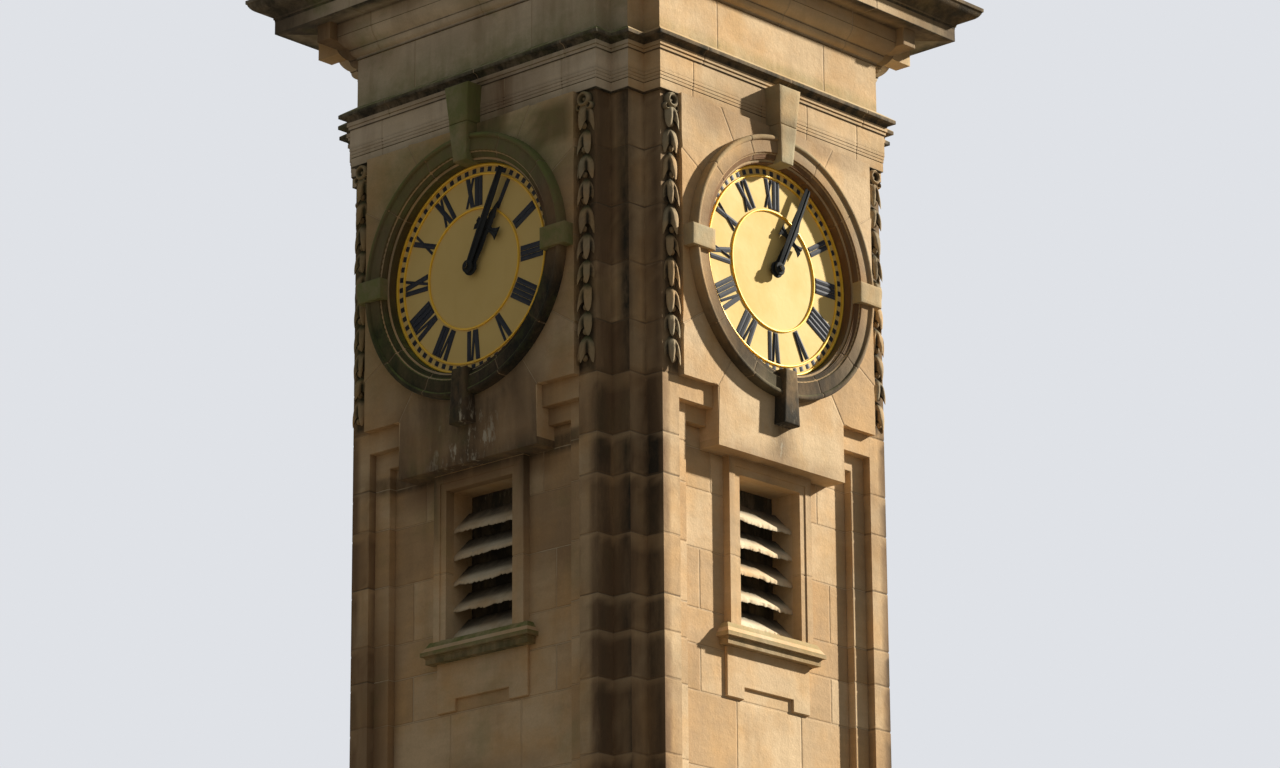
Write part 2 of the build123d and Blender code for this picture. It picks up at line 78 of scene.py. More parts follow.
class Side(Enum):
    """A face of the tower, with the angle its outward direction makes with +X."""

    FRONT = -90
    RIGHT = 0
    BACK = 90
    LEFT = 180

    @property
    def word(self) -> str:
        """The side's name as the nodes use it."""
        return self.name.lower()

    @property
    def damp(self) -> float:
        """How green the side's ledges grow, from 0 to 1."""
        return {"FRONT": 1.0, "RIGHT": 0.25, "BACK": 0.7, "LEFT": 0.9}[self.name]

    @property
    def shady(self) -> bool:
        """Whether the sun seldom dries the side."""
        return self.damp > 0.5

    def place(self, points: Array) -> Array:
        """Turns face points into the tower's frame.

        Args:
            points: across, height from the dial's centre, and distance out from the tower's axis.

        Returns:
            x, y and z: each point is across times the face's level direction, plus out times its
            outward direction, plus the height.
        """
        angle = math.radians(self.value)
        across = np.array((-math.sin(angle), math.cos(angle), 0.0))
        out = np.array((math.cos(angle), math.sin(angle), 0.0))
        up = np.array((0.0, 0.0, 1.0))
        return (points[..., :1] * across + points[..., 1:2] * up + points[..., 2:3] * out
                + DIAL_HEIGHT * up)


class Edge(Enum):
    """How a stone ends on one side."""

    JOINT = 0
    FREE = 1
    BUTT = 2


class Dirt(Enum):
    """A kind of dirt, with its place in a point's wear; the soot column also carries painted shade."""

    SOOT_AND_SHADE = 2
    MOSS = 3
    BROWN = 4
    PALE = 5


@dataclass(frozen=True)
class Sizes:
    """The tower's sizes in metres; heights are from the dial's centre.

    Half is how far out the pilasters' faces are. A corner steps back at the arris and the nib, and the sunk
    panel goes in from the recess's edge to its band and its field. Beam is how far the architrave is proud.
    """

    half: float = 1.505
    arris: float = 1.187
    nib: float = 1.35
    recess: float = 1.025
    band_edge: float = 0.885
    field: float = 1.38
    band: float = 1.44
    wall: float = 1.56
    dial: float = 1.497
    beam: float = 0.028
    fillet_band: float = 0.037
    shaft_foot: float = -10.02
    recess_head: float = -1.165
    band_foot: float = -1.285
    shoulder: float = -1.008
    apron_foot: float = -1.435
    apron_half: float = 0.673
    architrave_foot: float = 1.05
    string_foot: float = 1.335
    frieze_foot: float = 1.516
    frieze_top: float = 1.885
    soffit: float = 2.172
    corona_top: float = 2.268
    cornice_top: float = 2.432
    blocking_half: float = 1.385
    blocking_top: float = 2.852
    sill_foot: float = -2.79
    sill_seat: float = -2.64
    window_half: float = 0.325
    window_head: float = -1.555
    frame_half: float = 0.433
    plinth_half: float = 1.655
    plinth_top: float = -10.26
    plinth_foot: float = -11.76
    step_half: float = 1.925
    ground: float = -12.0
    hidden_courses: int = 15
    seen_beds: tuple[float, ...] = (1.05, 0.632, 0.209, -0.214, -0.636, -1.009, -1.437, -1.73, -2.15, -2.575,
                                    -2.83, -3.155, -3.675)

    @property
    def beds(self) -> Array:
        """Heights of the bed joints, from the architrave down to the shaft's foot."""
        hidden = np.linspace(self.seen_beds[-1], self.shaft_foot, self.hidden_courses + 1)[1:]
        return np.concatenate((self.seen_beds, hidden))


TOWER = Sizes()


@dataclass
class Surface:
    """Points with their quads, and for each point its tint, its joint mark and its dirt, some of it painted
    shade.
    """

    points: Array
    quads: Array
    wear: Array

    @classmethod
    def of_grid(cls, points: Array, wear: Array) -> "Surface":
        """Quads between neighbours of one grid, or of each grid in a stack.

        Args:
            points: stack, rows, columns and 3 numbers; the stack may be left out.
            wear: the same shape as points.

        Returns:
            A surface whose faces point to the side from which rows run right and columns run up.
        """
        if points.ndim == 3:
            points, wear = points[None], wear[None]
        stack, rows, columns = points.shape[:3]
        index = np.arange(stack * rows * columns).reshape(stack, rows, columns)
        quads = np.stack((index[:, :-1, :-1], index[:, 1:, :-1], index[:, 1:, 1:], index[:, :-1, 1:]), -1)
        return cls(points.reshape(-1, 3), quads.reshape(-1, 4), wear.reshape(-1, 6))

    @classmethod
    def joined(cls, surfaces: Sequence["Surface"]) -> "Surface":
        """One surface that holds all of these."""
        counts = np.cumsum([0] + [len(s.points) for s in surfaces])
        return cls(np.concatenate([s.points for s in surfaces]),
                   np.concatenate([s.quads + n for s, n in zip(surfaces, counts)]),
                   np.concatenate([s.wear for s in surfaces]))

    def changed(self, change: Callable[[Array], Array]) -> "Surface":
        """The same surface with its points put through a function."""
        return Surface(change(self.points), self.quads, self.wear)

    def moved(self, across: float = 0.0, up: float = 0.0, out: float = 0.0) -> "Surface":
        """The same surface in another place."""
        return self.changed(lambda p: p + np.array((across, up, out)))

    def flipped(self) -> "Surface":
        """The same surface, facing the other way."""
        return Surface(self.points, self.quads[:, ::-1], self.wear)

    def mirrored(self) -> "Surface":
        """The same surface on the other side of the face's centre line, still facing out."""
        return self.changed(lambda p: p * np.array((-1.0, 1.0, 1.0))).flipped()


def worn(points: Array, tint: Amount, joint: Amount = 0.0, soot_and_shade: Amount = 0.0) -> Array:
    """Wear of a grid of points: tint, joint mark, soot with painted shade, then clean moss, brown and pale.
    """
    return np.stack([np.broadcast_to(x, points.shape[:-1]) for x in (tint, joint, soot_and_shade, 0.0, 0.0, 0.0)], -1)


@dataclass(frozen=True)
class Stain:
    """A soft patch of dirt on a face; a few are painted shadow."""

    kind: Dirt
    across: float
    height: float
    half_width: float
    half_height: float
    strength: float

    def amount(self, points: Array) -> Array:
        """Its strength times a smooth fall from its middle to its edge, across and up."""
        x = 1.0 - np.abs(points[:, 0] - self.across) / self.half_width
        y = 1.0 - np.abs(points[:, 1] - self.height) / self.half_height
        x, y = np.clip(2.0 * x, 0.0, 1.0), np.clip(2.0 * y, 0.0, 1.0)
        return self.strength * x * x * (3.0 - 2.0 * x) * y * y * (3.0 - 2.0 * y)


def weathered(surface: Surface, side: Side) -> Array:
    """The surface's wear with the side's stains added, each kind as strong as its strongest."""
    wear = surface.wear.copy()
    for stain in STAINS[side]:
        column = stain.kind.value
        wear[:, column] = np.maximum(wear[:, column], stain.amount(surface.points))
    return wear


def welded(points: Array, quads: Array, wear: Array) -> tuple[Array, Array, Array, Array]:
    """Joins points that lie together, so that seams and poles close.

    Args:
        points: their places.
        quads: four point numbers a row.
        wear: each point's wear.

    Returns:
        The points left, the corners of every face in one row, where each face starts in it, and the
        points' wear. A quad with two corners together becomes a triangle, and one with fewer goes.
    """
    _, first, index = np.unique(np.round(points, 5), axis=0, return_index=True, return_inverse=True)
    corners = index.reshape(-1)[quads]
    keep = corners != np.roll(corners, 1, axis=1)
    real = (keep.sum(1) > 2) & (corners[:, 0] != corners[:, 2]) & (corners[:, 1] != corners[:, 3])
    corners, keep = corners[real], keep[real]
    starts = np.concatenate(((0,), np.cumsum(keep.sum(1))[:-1]))
    return points[first], corners[keep], starts, wear[first]


def build(name: str, surface: Surface, side: Side, finish: "Finish", body: str = "tower",
          smooth: float = 30.0, stands_for: Sequence[str] = ()) -> bpy.types.Object:
    """Makes a piece from a surface in face coordinates.

    Args:
        name: the piece's name.
        surface: its points, quads and wear.
        side: the face it is on.
        finish: its finish.
        body: the body it rides on.
        smooth: edges that turn less than this many degrees are shaded smooth.
        stands_for: CAD nodes that it is shown instead of.

    Returns:
        The Blender object, in place and riding.
    """
    mesh = bpy.data.meshes.new(name)
    place, dirt = side.place(surface.points), weathered(surface, side)
    points, corners, starts, wear = welded(place, surface.quads, dirt)
    mesh.vertices.add(len(points))
    mesh.vertices.foreach_set("co", points.astype(np.float32).ravel())
    mesh.loops.add(len(corners))
    mesh.loops.foreach_set("vertex_index", corners.astype(np.int32))
    mesh.polygons.add(len(starts))
    mesh.polygons.foreach_set("loop_start", starts.astype(np.int32))
    mesh.update(calc_edges=True)
    for title, columns in (("wear", wear[:, :3]), ("stain", wear[:, 3:])):
        attribute = mesh.attributes.new(title, "FLOAT_VECTOR", "POINT")
        attribute.data.foreach_set("vector", columns.astype(np.float32).ravel())
    damp = mesh.attributes.new("damp", "FLOAT", "POINT")
    damp.data.foreach_set("value", np.full(len(points), side.damp, np.float32))
    mesh.shade_smooth()
    mesh.set_sharp_from_angle(angle=math.radians(smooth))
    mesh.materials.append(finish.material())
    piece = bpy.data.objects.new(name, mesh)
    bpy.context.scene.collection.objects.link(piece)
    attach(piece, body)
    if stands_for:
        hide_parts(*stands_for)
    LOG.info("%s: %d faces on %s", name, len(starts), body)
    return piece


def edge_lines(kind: Array, depth: Array) -> tuple[Array, Array, Array]:
    """Five lines of a stone's grid beside one edge, counted inwards from it.

    Args:
        kind: the Edge value of each stone.
        depth: how far each free edge goes back.

    Returns:
        Distances in from the edge, levels over the wall and joint marks, each stones by 5. At a joint
        the lines are the joint's middle and side at mortar level, then the arris and twice the face. At
        a free edge the first two go back down the return.
    """
    free, butt = kind[:, None] == Edge.FREE.value, kind[:, None] == Edge.BUTT.value
    inset = np.where(free, FREE_INSET, np.where(butt, BUTT_INSET, CUT_INSET))
    level = np.where(free, FREE_LEVEL + depth[:, None] * FREE_BACK, np.where(butt, SKIN, CUT_LEVEL))
    return inset, level, np.where(free | butt, 0.0, CUT_MARK)


def with_cuts(row: Array, cuts: tuple[bool, bool], first: Array, last: Array) -> Array:
    """A row of values along a run, with a joint's five lines in place of each end that is cut.

    Args:
        row: the values, one for each place.
        cuts: whether each end is a joint.
        first: the five values at the first joint, counted inwards from it.
        last: the five values at the last joint, counted inwards from it.

    Returns:
        The row, longer by four for each joint.
    """
    if cuts[0]:
        row = np.concatenate((first, row[1:]))
    if cuts[1]:
        row = np.concatenate((row[:-1], last[::-1]))
    return row


@dataclass
class Ashlar:
    """Dressed stones on a flat wall, gathered one by one and made in one go."""

    plane: float
    seed: int
    rows: list[list[float]] = field(default_factory=list)
    inner: int = 5
    chips: float = 0.004

    def stone(self, u0: float, u1: float, h0: float, h1: float,
              edges: Sequence[tuple[Edge, float]] = (), tint: float = -1.0) -> "Ashlar":
        """Adds a stone.

        Args:
            u0: left edge.
            u1: right edge.
            h0: lower edge.
            h1: upper edge.
            edges: kind and depth of the left, right, lower and upper edges; joints if left out.
            tint: from 0 to 1; by chance if below 0.

        Returns:
            This wall, so that calls can be chained.
        """
        edges = list(edges) or [(Edge.JOINT, 0.0)] * 4
        self.rows.append([u0, u1, h0, h1, tint] + [x for kind, depth in edges for x in (kind.value, depth)])
        return self

    def course(self, cuts: Sequence[float], h0: float, h1: float, ends: tuple[float, float] = (0.0, 0.0),
               foot: float = 0.0, top: float = 0.0) -> "Ashlar":
        """Adds a course of stones between cuts.

        Args:
            cuts: where it starts, its upright joints and where it ends.
            h0: lower edge.
            h1: upper edge.
            ends: depth of a free left and right end; 0 for a joint there.
            foot: depth of a free lower edge, or 0.
            top: depth of a free upper edge, or 0.

        Returns:
            This wall.
        """
        last = len(cuts) - 2
        for i in range(last + 1):
            depths = (ends[0] if i == 0 else 0.0, ends[1] if i == last else 0.0, foot, top)
            self.stone(cuts[i], cuts[i + 1], h0, h1,
                       [(Edge.FREE if depth else Edge.JOINT, depth) for depth in depths])
        return self

    def surface(self) -> Surface:
        """Every stone as a grid of two parameters, across and up.

        Returns:
            Each point's level is the lower of the levels its column and its row ask for, which turns
            five lines beside every edge into joint, arris and face, mitred at the corners. Arrises
            move in by a random amount cubed, so that a few are chipped.
        """
        rng = np.random.default_rng(self.seed)
        rows = np.array(self.rows)
        kinds, depths = rows[:, 5::2].astype(int), rows[:, 6::2]
        lines, levels, joints = [], [], []
        share = np.linspace(0.0, 1.0, self.inner + 2)[1:-1]
        flat = np.zeros((len(rows), self.inner))
        for first in (0, 2):
            near, near_level, near_joint = edge_lines(kinds[:, first], depths[:, first])
            far, far_level, far_joint = edge_lines(kinds[:, first + 1], depths[:, first + 1])
            start, end = rows[:, first, None] + near, (rows[:, first + 1, None] - far)[:, ::-1]
            middle = start[:, -1:] + (end[:, :1] - start[:, -1:]) * share
            lines.append(np.concatenate((start, middle, end), 1))
            levels.append(np.concatenate((near_level, flat + SKIN, far_level[:, ::-1]), 1))
            joints.append(np.concatenate((near_joint, flat, far_joint[:, ::-1]), 1))
        size = lines[0].shape[1]
        u = np.repeat(lines[0][:, :, None], size, 2)
        h = np.repeat(lines[1][:, None, :], size, 1)
        level = np.minimum(levels[0][:, :, None], levels[1][:, None, :])
        joint = np.maximum(joints[0][:, :, None], joints[1][:, None, :])
        chip = rng.random((4, len(rows), size)) ** 3 * self.chips
        jointed = kinds == Edge.JOINT.value
        for line in ARRIS_LINES:
            u[:, line] += chip[0] * jointed[:, 0, None]
            u[:, -1 - line] -= chip[1] * jointed[:, 1, None]
            h[:, :, line] += chip[2] * jointed[:, 2, None]
            h[:, :, -1 - line] -= chip[3] * jointed[:, 3, None]
        tint = np.where(rows[:, 4] < 0, rng.random(len(rows)), rows[:, 4])
        points = np.stack((u, h, self.plane + level), -1)
        return Surface.of_grid(points, worn(points, tint[:, None, None], joint))


@dataclass(frozen=True)
class Profile:
    """A moulding's section: pairs of distance out and height, from its foot up, each may carry soot and
    painted shade.
    """

    points: tuple[Pair, ...]
    outside: float = 1.0
    grime: tuple[float, ...] = ()

    @classmethod
    def soiled(cls, points: Sequence[Triple]) -> "Profile":
        """A section whose points each have a third number, their soot and painted shade."""
        pairs = tuple((out, high) for out, high, _ in points)
        return cls(pairs, grime=tuple(float(soot_and_shade) for *_, soot_and_shade in points))

    @property
    def soot_and_shade(self) -> Array:
        """Each point's soot and painted shade."""
        return np.array(self.grime) if self.grime else np.zeros(len(self.points))

    def moved(self, level: Array) -> Array:
        """The section moved away from the stone, once for each level.

        Args:
            level: how far to move it.

        Returns:
            The points plus their normals times the level. A normal is the sum of the two neighbouring
            sides' directions over one plus their product, so that both sides move by the same amount.
        """
        points = np.array(self.points)
        along = np.diff(points, axis=0)
        along /= np.linalg.norm(along, axis=1, keepdims=True)
        side = np.stack((along[:, 1], -along[:, 0]), -1) * self.outside
        first, second = np.vstack((side[:1], side)), np.vstack((side, side[-1:]))
        normals = (first + second) / np.maximum(1 + (first * second).sum(1, keepdims=True), 0.3)
        return points[None] + normals[None] * level[:, None, None]


def arc(start: Pair, end: Pair, bulge: float, count: int = 6) -> list[Pair]:
    """Points of a circular arc after its start, up to its end.

    Args:
        start: where it starts.
        end: where it ends.
        bulge: its rise over its chord, to the left of the way it goes if positive.
        count: how many points.

    Returns:
        The chord's points moved aside by the circle's height over the chord.
    """
    a, b = np.array(start), np.array(end)
    chord = b - a
    length = np.hypot(*chord)
    left = np.array((-chord[1], chord[0])) / length
    rise = abs(bulge)
    radius = (length**2 / 4 + rise**2) / (2 * rise)
    x = np.linspace(-0.5, 0.5, count + 1)[1:] * length
    y = np.sqrt(np.maximum(radius**2 - x**2, 0)) - (radius - rise)
    p = (a + b) / 2 + (x / length)[:, None] * chord + np.sign(bulge) * y[:, None] * left
    return [tuple(q) for q in p]


@dataclass(frozen=True)
class Station:
    """Where a profile stands along its run: base plus direction times the profile's first number."""

    base: Triple
    direction: Triple


def carried(profile: Profile, stations: Sequence[Station], lift: Array, cuts: tuple[bool, bool],
            tint: float) -> Surface:
    """A profile carried past stations as one stone, with a joint at either end if it is cut there.

    Args:
        profile: the section.
        stations: at least two, in order.
        lift: direction of the section's second number.
        cuts: whether each end is a joint.
        tint: the stone's tint.

    Returns:
        Point (i, j) is base i plus direction i times the section's first number j plus lift times its
        second, both moved along the section's normal by the level of i.
    """
    base = np.array([s.base for s in stations], float)
    direction = np.array([s.direction for s in stations], float)
    onward, backward = base[1] - base[0], base[-2] - base[-1]
    first = base[0] + CUT_INSET[:, None] * onward / np.linalg.norm(onward)
    last = base[-1] + CUT_INSET[:, None] * backward / np.linalg.norm(backward)
    level = with_cuts(np.full(len(base), SKIN), cuts, CUT_LEVEL, CUT_LEVEL)
    joint = with_cuts(np.zeros(len(base)), cuts, CUT_MARK, CUT_MARK)
    base = with_cuts(base, cuts, first, last)
    direction = with_cuts(direction, cuts, np.broadcast_to(direction[0], first.shape),
                          np.broadcast_to(direction[-1], last.shape))
    moved = profile.moved(level)
    points = base[:, None] + direction[:, None] * moved[..., :1] + lift * moved[..., 1:]
    return Surface.of_grid(points, worn(points, tint, joint[:, None], profile.soot_and_shade))


def turned(profile: Profile, start: float, end: float, out: float, tint: float = 0.5,
           cuts: tuple[bool, bool] = (False, False), skin: float = SKIN, step: float = 3.0) -> Surface:
    """A profile turned clockwise about the dial's axis, between two clock angles in degrees.

    Args:
        profile: the section, from the axis outwards.
        start: where it starts.
        end: where it ends.
        out: the plane that the section's second number is counted from.
        tint: its tint.
        cuts: whether each end is a joint.
        skin: how far it stands out from the section.
        step: degrees from line to line.

    Returns:
        Point (i, j) is at clock angle i, at the section's first number j from the axis and its second
        out from the plane, both moved along the section's normal by the level of i.
    """
    angle = np.radians(np.linspace(start, end, max(int(round((end - start) / step)), 2) + 1))
    inset = CUT_INSET / np.mean([radius for radius, _ in profile.points])
    level = with_cuts(np.full(len(angle), skin), cuts, CUT_LEVEL, CUT_LEVEL)
    joint = with_cuts(np.zeros(len(angle)), cuts, CUT_MARK, CUT_MARK)
    angle = with_cuts(angle, cuts, angle[0] + inset, angle[-1] - inset)[:, None]
    moved = profile.moved(level)
    radius, rise = moved[..., 0], moved[..., 1]
    points = np.stack((radius * np.sin(angle), radius * np.cos(angle), rise + out), -1)
    return Surface.of_grid(points, worn(points, tint, joint[:, None], profile.soot_and_shade))


def block(foot: Pair, top: Pair, low: float, high: float, front: Pair, back: float, tint: float = 0.5,
          rounding: float = 0.006) -> Surface:
    """A stone that stands out from a wall, with rounded arrises.

    Args:
        foot: its left and right ends at the foot.
        top: its left and right ends at the top.
        low: height of its foot.
        high: height of its top.
        front: how far out its face is at the foot and at the top.
        back: how far out its sides end.
        tint: its tint.
        rounding: radius of its arrises.

    Returns:
        Point (i, j) is a share across and a share up; its distance out is the front's, less a quarter
        circle's drop near the arrises, and on the outermost lines it is the back's.
    """
    inset = np.array((0.0, 0.0, 0.0, 0.29, 1.0)) * rounding
    drop = np.array((1.0, 0.5, 0.0, 0.0, 0.0))
    curve = np.array((0.0, 0.0, 1.0, 0.29, 0.0)) * rounding
    flat = np.zeros(len(inset))
    near = np.concatenate((inset, flat, -inset[::-1]))
    part = np.concatenate((flat, np.linspace(0.0, 1.0, 7)[1:-1], flat + 1.0))
    sunk = np.concatenate((drop, flat, drop[::-1]))
    bend = np.concatenate((curve, flat, curve[::-1]))
    h = low + (high - low) * part[None, :] + near[None, :]
    rise = (h - low) / (high - low)
    left = foot[0] + (top[0] - foot[0]) * rise
    right = foot[1] + (top[1] - foot[1]) * rise
    u = left + (right - left) * part[:, None] + near[:, None]
    face = front[0] + (front[1] - front[0]) * rise
    share_back = np.maximum(sunk[:, None], sunk[None, :])
    rounded = face - np.maximum(bend[:, None], bend[None, :])
    out = rounded + (back - rounded) * share_back
    points = np.stack((u, np.broadcast_to(h, u.shape), out), -1)
    return Surface.of_grid(points, worn(points, tint))


@dataclass(frozen=True)
class Course:
    """A moulded course along one face, with its share of both corners."""

    profile: Profile
    half: float
    stepped: bool
    cuts: tuple[float, ...]
    seed: int

    def corner(self, sign: float) -> list[Station]:
        """Stations round one corner, from the mitre to the face."""
        half, arris, nib = self.half, TOWER.arris, TOWER.nib
        places = ((nib, nib), (arris, nib), (arris, half)) if self.stepped else ((half, half),)
        return [Station((sign * across, 0, out), (sign, 0, 1)) for across, out in places]

    def surface(self) -> Surface:
        """The course's stones, carried from joint to joint; the first and the last go round a corner."""
        rng = np.random.default_rng(self.seed)
        cuts = [Station((u, 0, self.half), (0, 0, 1)) for u in self.cuts]
        runs = [self.corner(-1) + cuts[:1], *map(list, zip(cuts[:-1], cuts[1:])),
                cuts[-1:] + self.corner(1)[::-1]]
        return Surface.joined([carried(self.profile, run, UP, (i > 0, i < len(cuts)), rng.random())
                               for i, run in enumerate(runs)])


class Sheet:
    """A material's node tree, with short ways to add what the finishes share."""

    def __init__(self, name: str) -> None:
        """Starts a material with a plain shader."""
        self.material = bpy.data.materials.new(name)
        self.material.use_nodes = True
        self.nodes = self.material.node_tree.nodes
        self.shader = self.nodes["Principled BSDF"]
        self.where = self.nodes.new("ShaderNodeTexCoord").outputs["Object"]

    def set(self, socket: Socket, value: object) -> None:
        """Links or sets one input."""
        if isinstance(value, Socket):
            self.material.node_tree.links.new(value, socket)
        elif isinstance(value, tuple) and len(value) == 3 and socket.type == "RGBA":
            socket.default_value = (*value, 1.0)
        else:
            socket.default_value = value

    def attribute(self, name: str, output: str = "Fac") -> Socket:
        """A value that the mesh carries."""
        node = self.nodes.new("ShaderNodeAttribute")
        node.attribute_name = name
        return node.outputs[output]

    def parts(self, vector: Socket) -> tuple[Socket, ...]:
        """The three numbers of a vector."""
        node = self.nodes.new("ShaderNodeSeparateXYZ")
        self.set(node.inputs[0], vector)
        return tuple(node.outputs)

    def noise(self, scale: float, detail: float = 3.0, rough: float = 0.5,
              stretch: Colour = (1.0, 1.0, 1.0), shift: float = 0.0) -> Socket:
        """Noise with this many features a metre, squeezed along the axes by stretch."""
        mapping = self.nodes.new("ShaderNodeMapping")
        self.set(mapping.inputs["Vector"], self.where)
        mapping.inputs["Scale"].default_value = stretch
        mapping.inputs["Location"].default_value = (shift, shift * 0.7, shift * 1.3)
        node = self.nodes.new("ShaderNodeTexNoise")
        self.set(node.inputs["Vector"], mapping.outputs[0])
        for key, value in (("Scale", scale), ("Detail", detail), ("Roughness", rough)):
            node.inputs[key].default_value = value
        return node.outputs["Fac"]

    def spread(self, value: Socket, low: float, high: float, start: float = 0.0,
               end: float = 1.0) -> Socket:
        """A value's range from low to high, stretched over start to end and held there."""
        node = self.nodes.new("ShaderNodeMapRange")
        for i, number in enumerate((value, low, high, start, end)):
            self.set(node.inputs[i], number)
        return node.outputs[0]

    def maths(self, kind: str, *values: object) -> Socket:
        """Values put together one after another by a kind of arithmetic."""
        result = values[0]
        for value in values[1:]:
            node = self.nodes.new("ShaderNodeMath")
            node.operation = kind
            self.set(node.inputs[0], result)
            self.set(node.inputs[1], value)
            result = node.outputs[0]
        return result

    def times(self, *values: object) -> Socket:
        """The product of values."""
        return self.maths("MULTIPLY", *values)

    def blend(self, share: object, low: object, high: object, kind: str = "MIX") -> Socket:
        """One colour into another by a share."""
        node = self.nodes.new("ShaderNodeMix")
        node.data_type, node.blend_type = "RGBA", kind
        self.set(node.inputs[0], share)
        self.set(node.inputs[6], low)
        self.set(node.inputs[7], high)
        return node.outputs[2]

    def bump(self, height: Socket, distance: float, strength: float = 1.0) -> None:
        """Roughens the surface by a height between 0 and 1 times distance."""
        node = self.nodes.new("ShaderNodeBump")
        node.inputs["Strength"].default_value = strength
        node.inputs["Distance"].default_value = distance
        self.set(node.inputs["Height"], height)
        self.set(self.shader.inputs["Normal"], node.outputs[0])


@dataclass(frozen=True)
class Finish:
    """Base of all finishes: a name, and a material made once."""

    name: str

    def material(self) -> bpy.types.Material:
        """This finish's material, made on first use."""
        return bpy.data.materials.get(self.name) or self.make()

    def make(self) -> bpy.types.Material:
        """Builds the material."""
        raise NotImplementedError


@dataclass(frozen=True)
class Stone(Finish):
    """Weathered buff sandstone, tinted from stone to stone.

    Patches, streaks and green are how much of each there is, soiled is soot all over, and even is the least
    share of a point's soot and painted shade that shows.
    """

    light: Colour = (0.62, 0.455, 0.27)
    dark: Colour = (0.50, 0.335, 0.18)
    warm: Colour = (0.58, 0.36, 0.165)
    brown: Colour = (0.19, 0.115, 0.06)
    # colour of soot, and also of the painted shade that the soot column carries
    soot_and_shade: Colour = (0.03, 0.026, 0.018)
    lichen: Colour = (0.15, 0.17, 0.05)
    mortar: Colour = (0.52, 0.41, 0.27)
    drip: Colour = (0.50, 0.44, 0.33)
    patches: float = 0.2
    streaks: float = 0.15
    green: float = 0.5
    soiled: float = 0.0
    even: float = 0.45
    rough: float = 0.92
    shine: float = 0.2
    relief: float = 0.0025

    def bare(self, s: Sheet, tint: Socket) -> Socket:
        """The stone's own colour.

        Args:
            s: the material's sheet.
            tint: the stone's tint.

        Returns:
            Light to dark by the tint, warmer in soft glows, browner in patches, and its brightness
            varied by level bedding and fine grain.
        """
        glow = s.spread(s.noise(2.6, 4.0, 0.55, shift=19.0), 0.42, 0.68, 0.0, 0.8)
        patch = s.spread(s.noise(1.6, 5.0, 0.6, shift=3.0), 0.46, 0.72)
        bedding = s.spread(s.noise(5.0, 5.0, 0.65, (0.7, 0.7, 3.0)), 0.3, 0.7, 0.93, 1.06)
        grain = s.spread(s.noise(90.0, 3.0), 0.25, 0.75, 0.94, 1.06)
        colour = s.blend(s.spread(tint, 0.25, 1.0), self.light, self.dark)
        colour = s.blend(glow, colour, self.warm)
        node = s.nodes.new("ShaderNodeHueSaturation")
        s.set(node.inputs["Value"], s.times(bedding, grain))
        s.set(node.inputs["Color"], s.blend(s.times(patch, self.patches), colour, self.brown))
        return node.outputs[0]

    def dirty(self, s: Sheet, colour: Socket, grime: Socket, stained: Socket, pale: Socket) -> Socket:
        """Brown streaks, soot with painted shade, and pale drips over a colour.

        Args:
            s: the material's sheet.
            colour: what they lie on.
            grime: how much soot and painted shade a point has.
            stained: how brown it is.
            pale: how many pale drips it has.

        Returns:
            Each kind of dirt blended over the last, its share broken up by noise that runs downwards.
        """
        run = s.noise(5.0, 5.0, 0.62, (1.0, 1.0, 0.16), shift=7.0)
        streak = s.times(s.spread(run, 0.5, 0.68), self.streaks)
        film = s.times(stained, s.spread(run, 0.25, 0.55, 0.55, 1.0))
        colour = s.blend(s.maths("MAXIMUM", streak, film), colour, self.brown)
        mottle = s.maths("ADD", run, s.noise(13.0, 5.0, 0.7, (1.0, 1.0, 0.5), shift=29.0))
        soot_and_shade = s.maths("MINIMUM", s.maths("ADD", grime, self.soiled), 1.0)
        soot_and_shade = s.times(soot_and_shade, s.spread(mottle, 0.75, 1.15, self.even, 1.0))
        colour = s.blend(soot_and_shade, colour, self.soot_and_shade)
        drips = s.spread(s.noise(16.0, 6.0, 0.7, (1.0, 1.0, 0.35), shift=13.0), 0.56, 0.64)
        return s.blend(s.times(pale, drips), colour, self.drip)

    def grown(self, s: Sheet, colour: Socket, moss: Socket, pits: Socket) -> Socket:
        """Lichen and moss over a colour.

        Args:
            s: the material's sheet.
            colour: what they grow on.
            moss: how mossy a point is.
            pits: how deep its pits are.

        Returns:
            Green on ledges and in a thin film where the side is damp, and wherever a point is mossy.
        """
        up = s.parts(s.nodes.new("ShaderNodeNewGeometry").outputs["Normal"])[2]
        ledge = s.times(s.spread(up, 0.15, 0.6), s.spread(pits, 0.0, 0.7, 0.45, 1.0))
        film = s.times(s.spread(s.noise(2.3, 5.0, 0.65, shift=5.0), 0.52, 0.7), 0.5)
        green = s.times(s.maths("MAXIMUM", ledge, film), s.attribute("damp"), self.green)
        growth = s.times(moss, s.spread(s.noise(7.0, 6.0, 0.7, shift=17.0), 0.3, 0.6, 0.35, 1.0))
        return s.blend(s.maths("MAXIMUM", green, growth), colour, self.lichen)

    def jointed(self, s: Sheet, colour: Socket, joint: Socket) -> Socket:
        """Brown arrises and patchy mortar over a colour, by a point's joint mark."""
        arris = s.times(s.spread(joint, 0.05, 0.45), s.spread(joint, 0.55, 0.95, 0.6, 0.0))
        fresh = s.spread(s.noise(2.2, 3.0, shift=23.0), 0.42, 0.6, 0.15, 0.75)
        mortar = s.times(s.spread(joint, 0.6, 1.0), fresh)
        return s.blend(mortar, s.blend(arris, colour, self.brown), self.mortar)

